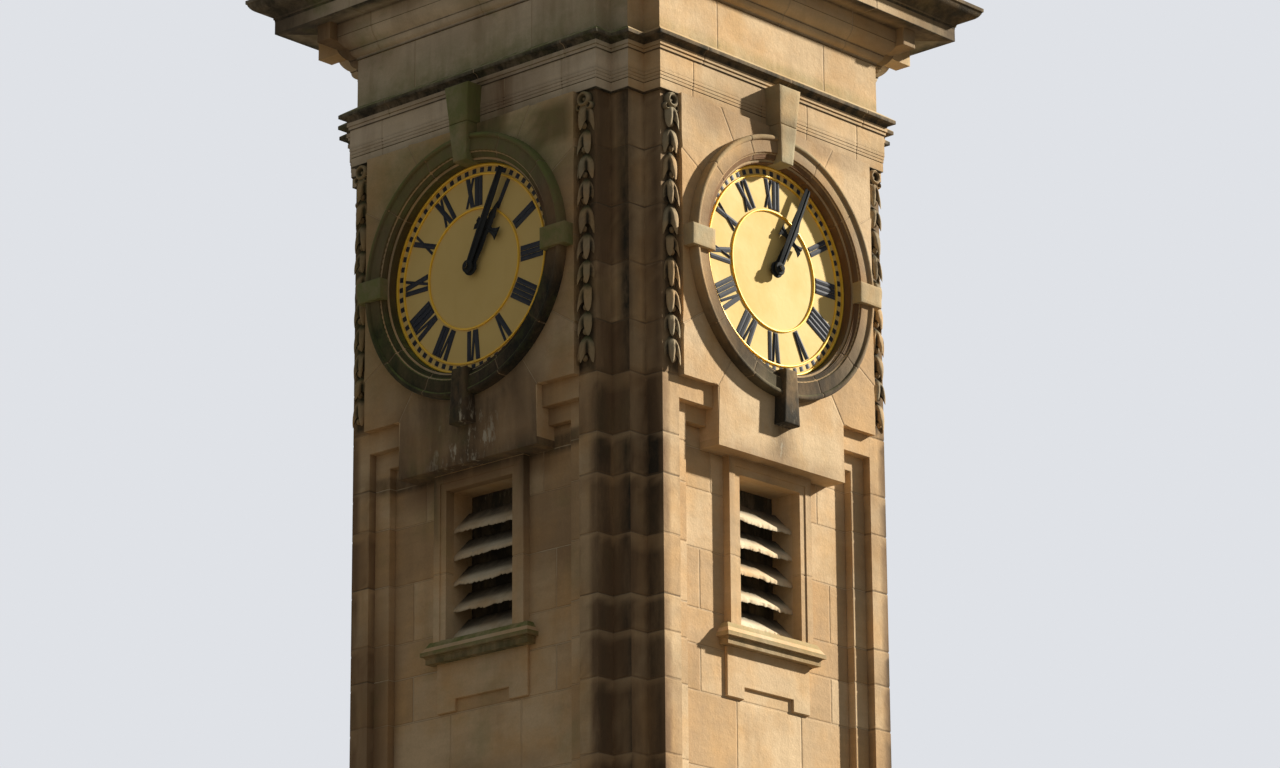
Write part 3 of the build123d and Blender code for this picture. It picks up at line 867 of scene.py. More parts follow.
    def make(self) -> bpy.types.Material:
        """Builds the material.

        Returns:
            The stone's colour, then dirt with painted shade, growth and joints, from what each point
            carries.
        """
        s = Sheet(self.name)
        tint, joint, grime = s.parts(s.attribute("wear", "Vector"))
        moss, stained, pale = s.parts(s.attribute("stain", "Vector"))
        pits = s.spread(s.noise(9.0, 6.0, 0.7, shift=11.0), 0.36, 0.6, 1.0, 0.0)
        colour = self.dirty(s, self.bare(s, tint), grime, stained, pale)
        colour = self.jointed(s, self.grown(s, colour, moss, pits), joint)
        s.set(s.shader.inputs["Base Color"], colour)
        s.shader.inputs["Roughness"].default_value = self.rough
        s.shader.inputs["Specular IOR Level"].default_value = self.shine
        rough = s.times(s.noise(60.0, 4.0, 0.7), 0.7)
        s.bump(s.maths("ADD", rough, s.times(pits, 0.6)), self.relief)
        return s.material


@dataclass(frozen=True)
class Paint(Finish):
    """Weathered paint or gilding on metal."""

    colour: Colour = (0.75, 0.55, 0.2)
    worn: Colour = (0.5, 0.35, 0.12)
    metal: float = 0.0
    rough: float = 0.5
    shine: float = 0.5

    def make(self) -> bpy.types.Material:
        """Paint that fades in soft patches, with fine streaks."""
        s = Sheet(self.name)
        fade = s.spread(s.noise(3.0, 5.0, 0.6), 0.4, 0.75)
        streak = s.spread(s.noise(9.0, 4.0, 0.6, (1.0, 1.0, 0.15), shift=2.0), 0.5, 0.8, 0.0, 0.5)
        share = s.maths("MAXIMUM", s.times(fade, 0.7), streak)
        s.set(s.shader.inputs["Base Color"], s.blend(share, self.colour, self.worn))
        rough = s.spread(fade, 0.0, 1.0, self.rough, min(self.rough + 0.15, 1.0))
        s.set(s.shader.inputs["Roughness"], rough)
        s.shader.inputs["Specular IOR Level"].default_value = self.shine
        s.shader.inputs["Metallic"].default_value = self.metal
        s.bump(s.noise(25.0, 3.0), 0.001)
        return s.material


@dataclass(frozen=True)
class Boards(Finish):
    """Painted boards with their grain showing through."""

    colour: Colour = (0.06, 0.07, 0.05)
    bare: Colour = (0.16, 0.12, 0.08)

    def make(self) -> bpy.types.Material:
        """Upright grain, with bare wood where the paint has worn."""
        s = Sheet(self.name)
        grain = s.noise(40.0, 5.0, 0.6, (1.0, 1.0, 0.06))
        worn = s.spread(s.noise(6.0, 5.0, 0.7, (1.0, 1.0, 0.3), shift=4.0), 0.55, 0.72)
        s.set(s.shader.inputs["Base Color"], s.blend(worn, self.colour, self.bare))
        s.shader.inputs["Roughness"].default_value = 0.6
        s.bump(grain, 0.002)
        return s.material


WALL_STONE = Stone("wall_stone", light=(0.63, 0.465, 0.28), dark=(0.45, 0.295, 0.155))
PIER_STONE = Stone("pier_stone", mortar=(0.10, 0.08, 0.05), patches=0.35, streaks=0.35, green=0.2,
                   soot_and_shade=(0.034, 0.027, 0.018), even=0.5)
MOULDED_STONE = Stone("moulded_stone", dark=(0.57, 0.41, 0.235), patches=0.25, streaks=0.2, green=0.9,
                      even=0.7)
# Lighter, greyer copy of the moulded stone for the shady sides: painted skylight for the cool light they
# get.
PAINTED_SKYLIGHT_MOULDED_STONE = Stone("moulded_stone_painted_skylight", light=(0.72, 0.60, 0.44), dark=(0.62, 0.51, 0.37),
                           warm=(0.58, 0.46, 0.31), patches=0.25, streaks=0.3, green=0.9, even=0.7)
RING_STONE = Stone("ring_stone", light=(0.44, 0.33, 0.20), dark=(0.36, 0.26, 0.15),
                   brown=(0.16, 0.075, 0.03), soot_and_shade=(0.016, 0.015, 0.010), mortar=(0.24, 0.19, 0.12),
                   patches=0.3, streaks=0.3, green=0.9, even=0.8)
KEY_STONE = Stone("key_stone", light=(0.50, 0.42, 0.27), dark=(0.42, 0.35, 0.22), green=0.5, patches=0.2)
FOOT_KEY_STONE = Stone("foot_key_stone", light=(0.05, 0.042, 0.03), dark=(0.035, 0.028, 0.02), soiled=0.6)
LOUVRE_STONE = Stone("worn_blade_stone", light=(0.74, 0.62, 0.43), dark=(0.66, 0.54, 0.36), patches=0.3,
                     streaks=0.25, green=0.0, even=0.8)
ROOF_STONE = Stone("worn_roof_stone", light=(0.38, 0.31, 0.20), dark=(0.26, 0.205, 0.13), patches=0.4,
                   green=0.9, soiled=0.15)
PLINTH_STONE = Stone("plinth_stone", light=(0.48, 0.34, 0.20), dark=(0.32, 0.22, 0.13), patches=0.5,
                     streaks=0.4, green=0.8, soiled=0.1)
CARVED_STONE = Stone("carved_stone", light=(0.42, 0.345, 0.22), dark=(0.28, 0.225, 0.14), patches=0.4,
                     streaks=0.3, green=0.4, soiled=0.05, even=0.85)
DIAL_PAINT = Paint("dial_paint", colour=(0.76, 0.555, 0.205), worn=(0.70, 0.495, 0.17), rough=0.6, shine=0.1)
GILDING = Paint("gilding", colour=(1.0, 0.62, 0.05), worn=(0.95, 0.50, 0.02), metal=0.1, rough=0.35)
NUMERAL_PAINT = Paint("numeral_paint", colour=(0.020, 0.023, 0.032), worn=(0.075, 0.076, 0.082), rough=0.6,
                      shine=0.25)
HAND_PAINT = Paint("hand_paint", colour=(0.020, 0.022, 0.024), worn=(0.060, 0.062, 0.060), rough=0.75,
                   shine=0.1)
DOOR_BOARDS = Boards("door_boards")

SHADY_STAINS = (
    Stain(Dirt.MOSS, 0.0, 0.75, 1.3, 0.4, 0.55),
    Stain(Dirt.MOSS, -0.7, 0.1, 0.9, 1.2, 0.25),
    Stain(Dirt.MOSS, 0.0, 1.54, 1.8, 0.12, 0.6),
    Stain(Dirt.BROWN, 0.0, -0.2, 1.5, 1.4, 0.4),
    Stain(Dirt.BROWN, 0.22, 1.14, 0.22, 0.34, 0.95),
    Stain(Dirt.SOOT_AND_SHADE, 0.2, 1.16, 0.14, 0.26, 0.55),
    Stain(Dirt.BROWN, 0.82, 0.86, 0.24, 0.2, 0.9),
    Stain(Dirt.SOOT_AND_SHADE, 0.0, -1.26, 0.24, 0.36, 0.85),
    Stain(Dirt.SOOT_AND_SHADE, 0.0, -0.9, 0.8, 0.3, 0.5),
    Stain(Dirt.PALE, 0.0, -1.3, 0.34, 0.34, 0.9),
    Stain(Dirt.BROWN, 0.0, -1.25, 1.1, 0.5, 0.8),
    Stain(Dirt.SOOT_AND_SHADE, -0.5, -1.25, 0.3, 0.3, 0.25),
    Stain(Dirt.BROWN, -1.2, -3.6, 0.45, 1.6, 0.75),
    Stain(Dirt.BROWN, 0.62, -1.95, 0.4, 0.45, 0.45),
    Stain(Dirt.BROWN, 0.1, -3.75, 0.7, 0.3, 0.3),
    # a painted shadow line along the apron's foot, at either side
    Stain(Dirt.SOOT_AND_SHADE, -0.45, -1.41, 0.8, 0.08, 0.7),
    Stain(Dirt.SOOT_AND_SHADE, 0.45, -1.41, 0.8, 0.08, 0.7),
    Stain(Dirt.SOOT_AND_SHADE, -2.0, 2.3, 0.75, 0.6, 0.9),
    Stain(Dirt.SOOT_AND_SHADE, 2.0, 2.3, 0.5, 0.6, 0.7),
    Stain(Dirt.BROWN, -1.5, 2.1, 0.5, 0.3, 0.9),
)
SUNNY_STAINS = (
    Stain(Dirt.BROWN, 0.0, 1.03, 1.3, 0.12, 0.5),
    Stain(Dirt.MOSS, 0.0, 1.53, 1.8, 0.08, 0.35),
    Stain(Dirt.BROWN, -0.45, 0.98, 0.5, 0.2, 0.45),
    Stain(Dirt.BROWN, -0.4, 1.12, 0.4, 0.3, 0.5),
    Stain(Dirt.SOOT_AND_SHADE, 0.0, -1.25, 0.16, 0.25, 0.7),
    Stain(Dirt.PALE, 0.0, -1.3, 0.25, 0.3, 0.5),
    Stain(Dirt.BROWN, 0.0, -1.42, 0.9, 0.08, 0.5),
    Stain(Dirt.BROWN, 0.95, -1.8, 0.2, 0.8, 0.35),
    Stain(Dirt.SOOT_AND_SHADE, -2.0, 2.3, 0.5, 0.6, 0.7),
    Stain(Dirt.SOOT_AND_SHADE, 2.0, 2.3, 0.75, 0.6, 0.9),
    Stain(Dirt.BROWN, 1.5, 2.1, 0.5, 0.3, 0.5),
)
STAINS = {Side.FRONT: SHADY_STAINS, Side.RIGHT: SUNNY_STAINS, Side.BACK: SUNNY_STAINS,
          Side.LEFT: SHADY_STAINS}


CUT, BUTTED = (Edge.JOINT, 0.0), (Edge.BUTT, 0.0)


@dataclass(frozen=True)
class Pier:
    """A corner pier: how black and how brown each line of its plan is, from the recess to the nib.

    Above the dial's middle, the black beside and behind the drop is painted shade.
    """

    right_soot: tuple[float, ...] = (0.1, 0.05, 0.0, 0.15, 0.6, 0.9, 1.0, 0.6, 0.25, 0.3, 1.2, 1.5)
    left_soot: tuple[float, ...] = (0.1, 0.05, 0.0, 0.0, 0.0, 0.15, 1.5, 1.2, 0.5, 0.15, 0.3, 0.7)
    # above the dial's middle: painted shade beside and behind the drop, soot streaks at the nib's arris
    high_soot_and_shade: tuple[float, ...] = (0.5, 0.9, 1.4, 1.4, 1.2, 0.3, 0.4, 0.1, 0.3, 0.0, 1.3, 2.0)
    browns: tuple[float, ...] = (0.3, 0.1, 0.1, 0.1, 0.3, 0.7, 0.85, 0.6, 0.4, 0.3, 0.4, 0.6)
    shares: tuple[float, ...] = (0.12, 0.4, 0.66, 0.78, 0.9)
    middle: float = 1.106
    chips: float = 0.005
    soot_top: float = -0.97
    nib_line: int = 9
    nib_light: float = 0.35

    @property
    def plan(self) -> tuple[Array, Array]:
        """The plan's points, and which way each moves as the stone's level rises."""
        t = TOWER
        a, h, n, r = t.arris, t.half, t.nib, t.recess
        points = ((r, t.band - 0.001), (r, h), (r + 0.02, h), (self.middle, h), (a - 0.04, h), (a, h),
                  (a, h - 0.045), (a, n + 0.03), (a, n), (a + 0.045, n), (n - 0.04, n), (n, n))
        moves = ((-1, 0), (-1, 1), (0, 1), (0, 1), (0, 1), (1, 1), (1, 0), (1, 0), (1, 1), (0, 1), (0, 1),
                 (1, 1))
        return np.array(points), np.array(moves, float)

    def dirt(self, h: Array, up: Array, tint: Array, sign: float, shade: float,
             rng: np.random.Generator) -> tuple[Array, Array]:
        """How black and how brown the pier's points are.

        Args:
            h: their heights, by stone, line of the plan and line up.
            up: their share of the way up their stone.
            tint: each stone's tint.
            sign: 1 for the pier at the face's right, -1 for its left.
            shade: how much browner the pier is than on the sunny face.
            rng: chooses how strong a stone's soot is and how far down its top is washed.

        Returns:
            Soot and brown: each line's own amount, changed by chance from stone to stone and, below the
            dial's middle, less on the washed top of each stone. Above it, the black on the pilaster's face
            beside and behind the drop is painted shade, and the nib's arris has soot.
        """
        stones, lines = (len(h), 1, 1), (*h.shape[:2], 1)
        below = np.clip((self.soot_top - h) / 0.05, 0.0, 1.0)
        edge = 0.66 + 0.2 * rng.random(stones) + 0.1 * rng.random(lines)
        washed = 1.0 - below * np.clip((up - edge) / 0.15, 0.0, 0.7)
        strong = (0.35 + 0.6 * rng.random(stones)) * (0.5 + 0.8 * rng.random(lines))
        fade = np.clip(1.3 + h * 0.1, 0.25, 1.0)
        low = np.array(self.right_soot if sign > 0 else self.left_soot)[:, None] * below * strong * fade
        lit = np.ones(h.shape[1])
        lit[self.nib_line:] = 1.0 if sign > 0 else self.nib_light
        # painted shade beside and behind the drop, and soot at the nib
        high = (np.array(self.high_soot_and_shade) * lit)[:, None] * (1.0 - below) * (0.6 + 0.4 * rng.random(lines))
        browns = np.array(self.browns)[:, None]
        brown = browns + shade * (0.45 + 1.1 * (tint - 0.5)) + 0.3 * (rng.random(h.shape) - 0.5)
        brown = brown + 0.45 * below * (browns > 0.25)
        return np.clip((low + high) * washed, 0.0, 1.0), np.clip(brown, 0.0, 1.0) * (0.4 + 0.6 * washed)

    def surface(self, sign: float, shade: float, seed: int) -> Surface:
        """One half of a corner pier: its plan carried past each bed joint.

        Args:
            sign: 1 for the pier at the face's right, -1 for its left.
            shade: how much browner the pier is than on the sunny face.
            seed: sets the stones' tints.

        Returns:
            The plan's corners move out by the level of each line of a stone's height, which gives the
            joint, the arris and the face.
        """
        plan, move = self.plan
        rng = np.random.default_rng(seed)
        low, high = TOWER.beds[1:, None], TOWER.beds[:-1, None]
        flat = np.zeros((len(low), len(self.shares)))
        near, level, joint = edge_lines(np.full(len(low), Edge.JOINT.value), np.zeros(len(low)))
        chip = rng.random((len(low), 2, len(plan))) ** 3 * self.chips
        middle = low + (high - low) * np.array(self.shares)
        rows = np.concatenate((low + near, middle, (high - near)[:, ::-1]), 1)
        levels = np.concatenate((level, flat + SKIN, level[:, ::-1]), 1)
        joints = np.concatenate((joint, flat, joint[:, ::-1]), 1)
        h = np.repeat(rows[:, None, :], len(plan), 1)
        for line in ARRIS_LINES:
            h[:, :, line] += chip[:, 0]
            h[:, :, -1 - line] -= chip[:, 1]
        place = plan[None, :, None] + move[None, :, None] * levels[:, None, :, None]
        points = np.stack((place[..., 0], h, place[..., 1]), -1)
        tint = rng.random(len(low))[:, None, None]
        up = (h - low[:, None]) / (high - low)[:, None]
        soot_and_shade, brown = self.dirt(h, up, tint, sign, shade, rng)
        wear = worn(points, tint, joints[:, None], soot_and_shade)
        wear[..., Dirt.BROWN.value] = brown
        surface = Surface.of_grid(points, wear)
        return surface if sign > 0 else surface.mirrored()


@dataclass(frozen=True)
class Walls:
    """Ashlar of the shaft: piers, dial walls, recesses, window walls and panels."""

    pier: Pier = Pier()
    rays: tuple[float, ...] = (0.0, 30.0, 58.0, 90.0, 122.0)
    hidden_radius: float = 0.9
    return_depth: float = 0.05
    return_brown: float = 0.25
    shade: float = 0.7
    upright_cuts: tuple[tuple[float, ...], ...] = ((), (0.57,), (), (0.69,), ())
    panel_cuts: tuple[float, ...] = (-0.69, -0.43, 0.43, 0.69)
    low_cuts: tuple[tuple[float, ...], ...] = ((-0.32, 0.36), (-0.6, 0.04, 0.62))
    low_foot: float = -3.2
    panel_half: float = 0.434
    panel_ear: float = 0.26
    panel_middle: float = -3.057
    panel_foot: float = -3.142
    panel_proud: float = 0.022

    def dial_stone(self, start: float, end: float, apron: bool, tint: float) -> Surface:
        """One stone of the dial wall, between two clock angles.

        Args:
            start: where it starts, in degrees.
            end: where it ends.
            apron: whether it is the one that reaches down the apron.
            tint: its tint.

        Returns:
            Point (i, j) is the share j of the way from the ring's hidden edge, along the ray at angle i,
            to where that ray leaves the stone's box.
        """
        t = TOWER
        half, foot = (t.apron_half, t.apron_foot) if apron else (t.recess, t.shoulder)
        corners = ((t.recess, t.architrave_foot), (t.recess, t.shoulder), (t.apron_half, t.apron_foot))
        bends = [math.degrees(math.atan2(*corner)) for corner in corners]
        bends = [b for b in (*bends, *(360.0 - b for b in bends)) if start < b < end]
        angle = np.radians(sorted([*np.linspace(start, end, 9), *bends]))
        count, both, five = len(angle), (True, True), np.ones(len(CUT_INSET))
        shift = with_cuts(np.zeros(count), both, CUT_INSET, -CUT_INSET)
        joint = with_cuts(np.zeros(count), both, CUT_MARK, CUT_MARK)
        level = with_cuts(np.full(count, SKIN), both, CUT_LEVEL, CUT_LEVEL)
        angle = with_cuts(angle, both, five * angle[0], five * angle[-1])
        ray = np.stack((np.sin(angle), np.cos(angle)), -1)
        tangent = np.stack((np.cos(angle), -np.sin(angle)), -1)
        across, up = np.maximum(np.abs(ray), 1e-6).T
        reach = np.minimum(half / across, np.where(ray[:, 1] > 0, t.architrave_foot, -foot) / up)
        inner = self.hidden_radius
        radius = inner + (reach + SKIN - inner)[:, None] * np.linspace(0.0, 1.0, 5)
        radius = np.concatenate((radius, radius[:, -1:], radius[:, -1:]), 1)
        out = np.repeat(t.wall + level[:, None], radius.shape[1], 1)
        out[:, -2] = t.wall - self.return_depth
        out[:, -1] = np.where(apron, t.field, t.half) - 0.001
        flat = ray[:, None] * radius[..., None] + (tangent * shift[:, None])[:, None]
        points = np.concatenate((flat, out[..., None]), -1)
        wear = worn(points, tint, joint[:, None])
        wear[:, -2:, Dirt.BROWN.value] = self.return_brown
        return Surface.of_grid(points, wear)

    def dial_wall(self, seed: int) -> Surface:
        """Stones that radiate from the dial, out to the wall's edges and down the apron."""
        rng = np.random.default_rng(seed)
        shoulder = math.degrees(math.atan2(TOWER.apron_half, TOWER.shoulder))
        right = (*self.rays, shoulder)
        cuts = (*right, *(360.0 - cut for cut in right[::-1]))
        return Surface.joined([self.dial_stone(start, end, start == shoulder, rng.random())
                               for start, end in zip(cuts[:-1], cuts[1:])])

    def recess_head(self, seed: int) -> Surface:
        """Stones over the sunk panel, at either side of the apron."""
        t = TOWER
        wall = Ashlar(t.half, seed)
        edges = [BUTTED, BUTTED, (Edge.FREE, t.half - t.band), BUTTED]
        for ends in ((-t.recess + ARRIS, -t.apron_half), (t.apron_half, t.recess - ARRIS)):
            wall.stone(*ends, t.recess_head, t.shoulder + ARRIS, edges)
        return wall.surface()

    def bands(self, seed: int) -> Surface:
        """The first step inside the sunk panel.

        Args:
            seed: sets the tints.

        Returns:
            A stone for each course at either side, from the step's head down, then its head in four.
        """
        t = TOWER
        wall = Ashlar(t.band, seed)
        free = (Edge.FREE, t.band - t.field)
        tops = [t.band_foot, *(h for h in t.beds if h < t.band_foot)]
        for top, foot in zip(tops[:-1], tops[1:]):
            upper = BUTTED if top == t.band_foot else CUT
            wall.stone(-t.recess, -t.band_edge, foot, top, [BUTTED, free, CUT, upper])
            wall.stone(t.band_edge, t.recess, foot, top, [free, BUTTED, CUT, upper])
        for sign in (-1, 1):
            for inner, outer, lower in ((t.apron_half, t.band_edge, free), (t.band_edge, t.recess, BUTTED)):
                ends = sorted((sign * inner, sign * outer))
                wall.stone(*ends, t.band_foot, t.recess_head, [BUTTED, BUTTED, lower, BUTTED])
        return wall.surface()

    def sunk_field(self, seed: int) -> Surface:
        """The sunk panel's own face.

        Args:
            seed: sets the tints.

        Returns:
            Courses at either side of the window, then one that the raised panel stands on, then whole
            ones whose joints change places from course to course.
        """
        t = TOWER
        wall = Ashlar(t.field, seed)
        beds = [t.band_foot, *(h for h in t.beds if h < t.band_foot)]
        for i, (top, foot) in enumerate(zip(beds[:-1], beds[1:])):
            if foot > t.sill_foot - 0.1:
                right = [t.frame_half - 0.02, *self.upright_cuts[i], t.band_edge]
                wall.course(right, foot, top)
                wall.course([-u for u in right[::-1]], foot, top)
            else:
                cuts = self.panel_cuts if foot > self.low_foot else self.low_cuts[i % 2]
                wall.course([-t.band_edge, *cuts, t.band_edge], foot, top)
        return wall.surface()

    def panel(self, seed: int) -> Surface:
        """The raised panel with two ears under the sill."""
        half, ear, middle, top = self.panel_half, self.panel_ear, self.panel_middle, TOWER.sill_foot
        wall = Ashlar(TOWER.field + self.panel_proud, seed, chips=0.0)
        free = (Edge.FREE, self.panel_proud)
        wall.stone(-half, -ear, middle, top, [free, BUTTED, BUTTED, BUTTED], 0.3)
        wall.stone(-ear, ear, middle, top, [BUTTED, BUTTED, free, BUTTED], 0.3)
        wall.stone(ear, half, middle, top, [BUTTED, free, BUTTED, BUTTED], 0.3)
        for ends in ((-half, -ear), (ear, half)):
            wall.stone(*ends, self.panel_foot, middle, [free, free, free, BUTTED], 0.3)
        return wall.surface()

    def make(self, side: Side, seed: int) -> None:
        """Builds the side's ashlar."""
        shade = self.shade if side.shady else 0.0
        piers = Surface.joined([self.pier.surface(-1, shade, seed), self.pier.surface(1, shade, seed + 1)])
        build(f"pier_stones_{side.word}", piers, side, PIER_STONE)
        build(f"dial_wall_stones_{side.word}", self.dial_wall(seed + 2), side, WALL_STONE)
        rest = Surface.joined([self.recess_head(seed + 3), self.bands(seed + 4), self.sunk_field(seed + 5),
                               self.panel(seed + 6)])
        build(f"recess_stones_{side.word}", rest, side, WALL_STONE)


@dataclass(frozen=True)
class Moulding:
    """A course of the entablature: its section, its upright joints and what it stands for."""

    name: str
    section: Sequence[Triple]
    cuts: tuple[float, ...]
    stepped: bool = True
    nodes: tuple[str, ...] = ()


def with_soot_and_shade(points: Sequence[Pair], soot_and_shade: float) -> list[Triple]:
    """Points of a section with one amount of soot."""
    return [(*point, soot_and_shade) for point in points]


@dataclass(frozen=True)
class Entablature:
    """Moulded courses over the dials; each section runs from its foot up, with soot and painted shade as
    third number.
    """

    bed: float = 0.115
    corona: float = 0.282
    cyma: float = 0.432
    groove_foot: float = 1.115
    groove_pitch: float = 0.0235
    shift: float = 0.05

    def architrave(self) -> list[Triple]:
        """A flat band under four fillets with grooves between them."""
        t = TOWER
        wall, band = t.beam, t.fillet_band
        # the underside at the foot is painted black as the architrave's shadow line
        lines = [(-0.02, t.architrave_foot, 1), (wall, t.architrave_foot, 1), (wall, 1.053, 0.1),
                 (wall, 1.112, 0)]
        for i, proud in enumerate((wall + 0.003, wall + 0.006, band, band)):
            foot = self.groove_foot + i * self.groove_pitch
            # each groove is painted dark as its shade
            lines += [*with_soot_and_shade(((wall - 0.003, foot), (wall - 0.003, foot + 0.006)), 0.9),
                      (proud, foot + 0.0065, 0.2), (proud, foot + 0.023, 0)]
        return [*lines, (band, 1.326, 0), (band, t.string_foot, 0.9)]

    def string(self) -> list[Triple]:
        """A groove, a fillet, a hollow and a nosing."""
        t = TOWER
        # the foot, the groove and the hollow are painted dark as their shade; the nosing's face is dark too
        return [(t.fillet_band - 0.01, t.string_foot, 1), (0.046, t.string_foot, 1), (0.046, 1.338, 0.1),
                (0.046, 1.355, 0), (0.042, 1.356, 0.9), (0.042, 1.361, 0.9), (0.055, 1.362, 0.1),
                (0.055, 1.386, 0.1), (0.051, 1.388, 1),
                *with_soot_and_shade(arc((0.051, 1.388), (0.090, 1.424), 0.009, 5), 1),
                (0.1, 1.425, 1), (0.1, 1.446, 0.9), (0.098, 1.449, 0.1), (0.05, 1.4825, 0),
                (0.0, t.frieze_foot, 0)]

    def frieze(self) -> list[Triple]:
        """A plain band that is cut back under the bed mould."""
        t = TOWER
        # the quirk at the top is painted black as the shadow under the bed mould
        return [(0.0, t.frieze_foot, 0.1), (0.0, 1.56, 0), (0.0, 1.62, 0), (0.0, 1.877, 0),
                (-0.004, 1.879, 1), (-0.004, t.frieze_top, 1)]

    def bed_mould(self) -> list[Triple]:
        """A bead and two hollows under a deep fillet."""
        t = TOWER
        # the undersides of the bead and the fillets are painted dark as their shade
        return [(-0.006, t.frieze_top, 1), (0.008, 1.887, 0.8), (0.008, 1.905, 0),
                *with_soot_and_shade(arc((0.008, 1.905), (0.042, 1.953), -0.010, 5), 0), (0.042, 1.957, 0.8),
                (0.047, 1.958, 0.8), (0.047, 1.966, 0),
                *with_soot_and_shade(arc((0.047, 1.966), (0.112, 2.060), -0.012, 6), 0), (0.110, 2.062, 0.9),
                (0.110, 2.067, 0.9), (self.bed, 2.068, 0), (self.bed, 2.15, 0.1), (self.bed, t.soffit, 0.9)]

    def drip(self) -> list[Triple]:
        """The corona's soffit and face."""
        t = TOWER
        face, foot = self.corona, t.soffit
        # the soffit darkens towards the face's edge: part soot, part painted shade
        return [(-0.2, foot, 0.3), (self.bed, foot, 0.7), (0.17, foot, 0.35), (0.24, foot, 0.9),
                (face, foot, 1), (face, foot + 0.004, 0.1), (face, 2.262, 0.05), (face, t.corona_top, 0.8)]

    def crown(self) -> list[Triple]:
        """The cyma: a fillet, a round, a hollow and the top."""
        t = TOWER
        top = t.cornice_top - SKIN
        return [(0.27, t.corona_top, 1), (0.284, 2.269, 1), (0.284, 2.284, 1), (0.291, 2.285, 0.2),
                (0.291, 2.294, 0.2), (0.291, 2.2955, 0.95),
                *with_soot_and_shade(arc((0.291, 2.2955), (0.3585, 2.339), 0.010), 0.95),
                *with_soot_and_shade(arc((0.3585, 2.339), (self.cyma, 2.405), -0.014), 0.95), (0.434, 2.407, 0.9),
                (0.439, 2.408, 0.5), (0.439, top, 0.1), (-0.12, top, 0.2)]

    @property
    def courses(self) -> tuple[Moulding, ...]:
        """The courses from the lowest up."""
        return (Moulding("architrave", self.architrave(), (-0.93, -0.2, 0.3, 0.86), nodes=("architrave",)),
                Moulding("string", self.string(), (-0.8, 0.1, 0.95), nodes=("string_course",)),
                Moulding("frieze", self.frieze(), (-0.55, 0.62)),
                Moulding("bed_mould", self.bed_mould(), (-0.9, 0.15, 0.85), nodes=("bed_mould",)),
                Moulding("corona", self.drip(), (-1.0, -0.1, 0.9), False, ("corona",)),
                Moulding("cyma", self.crown(), (-0.6, 0.5), False, ("cyma",)))

    def make(self, side: Side, seed: int) -> None:
        """Builds the side's share of every course."""
        # the shady sides take the moulded stone with painted skylight
        finish = PAINTED_SKYLIGHT_MOULDED_STONE if side.shady else MOULDED_STONE
        for i, course in enumerate(self.courses):
            cuts = tuple(cut + self.shift * math.sin(seed + i) for cut in course.cuts)
            section = Profile.soiled(course.section)
            surface = Course(section, TOWER.half, course.stepped, cuts, seed + i).surface()
            build(f"{course.name}_stones_{side.word}", surface, side, finish,
                  stands_for=course.nodes)


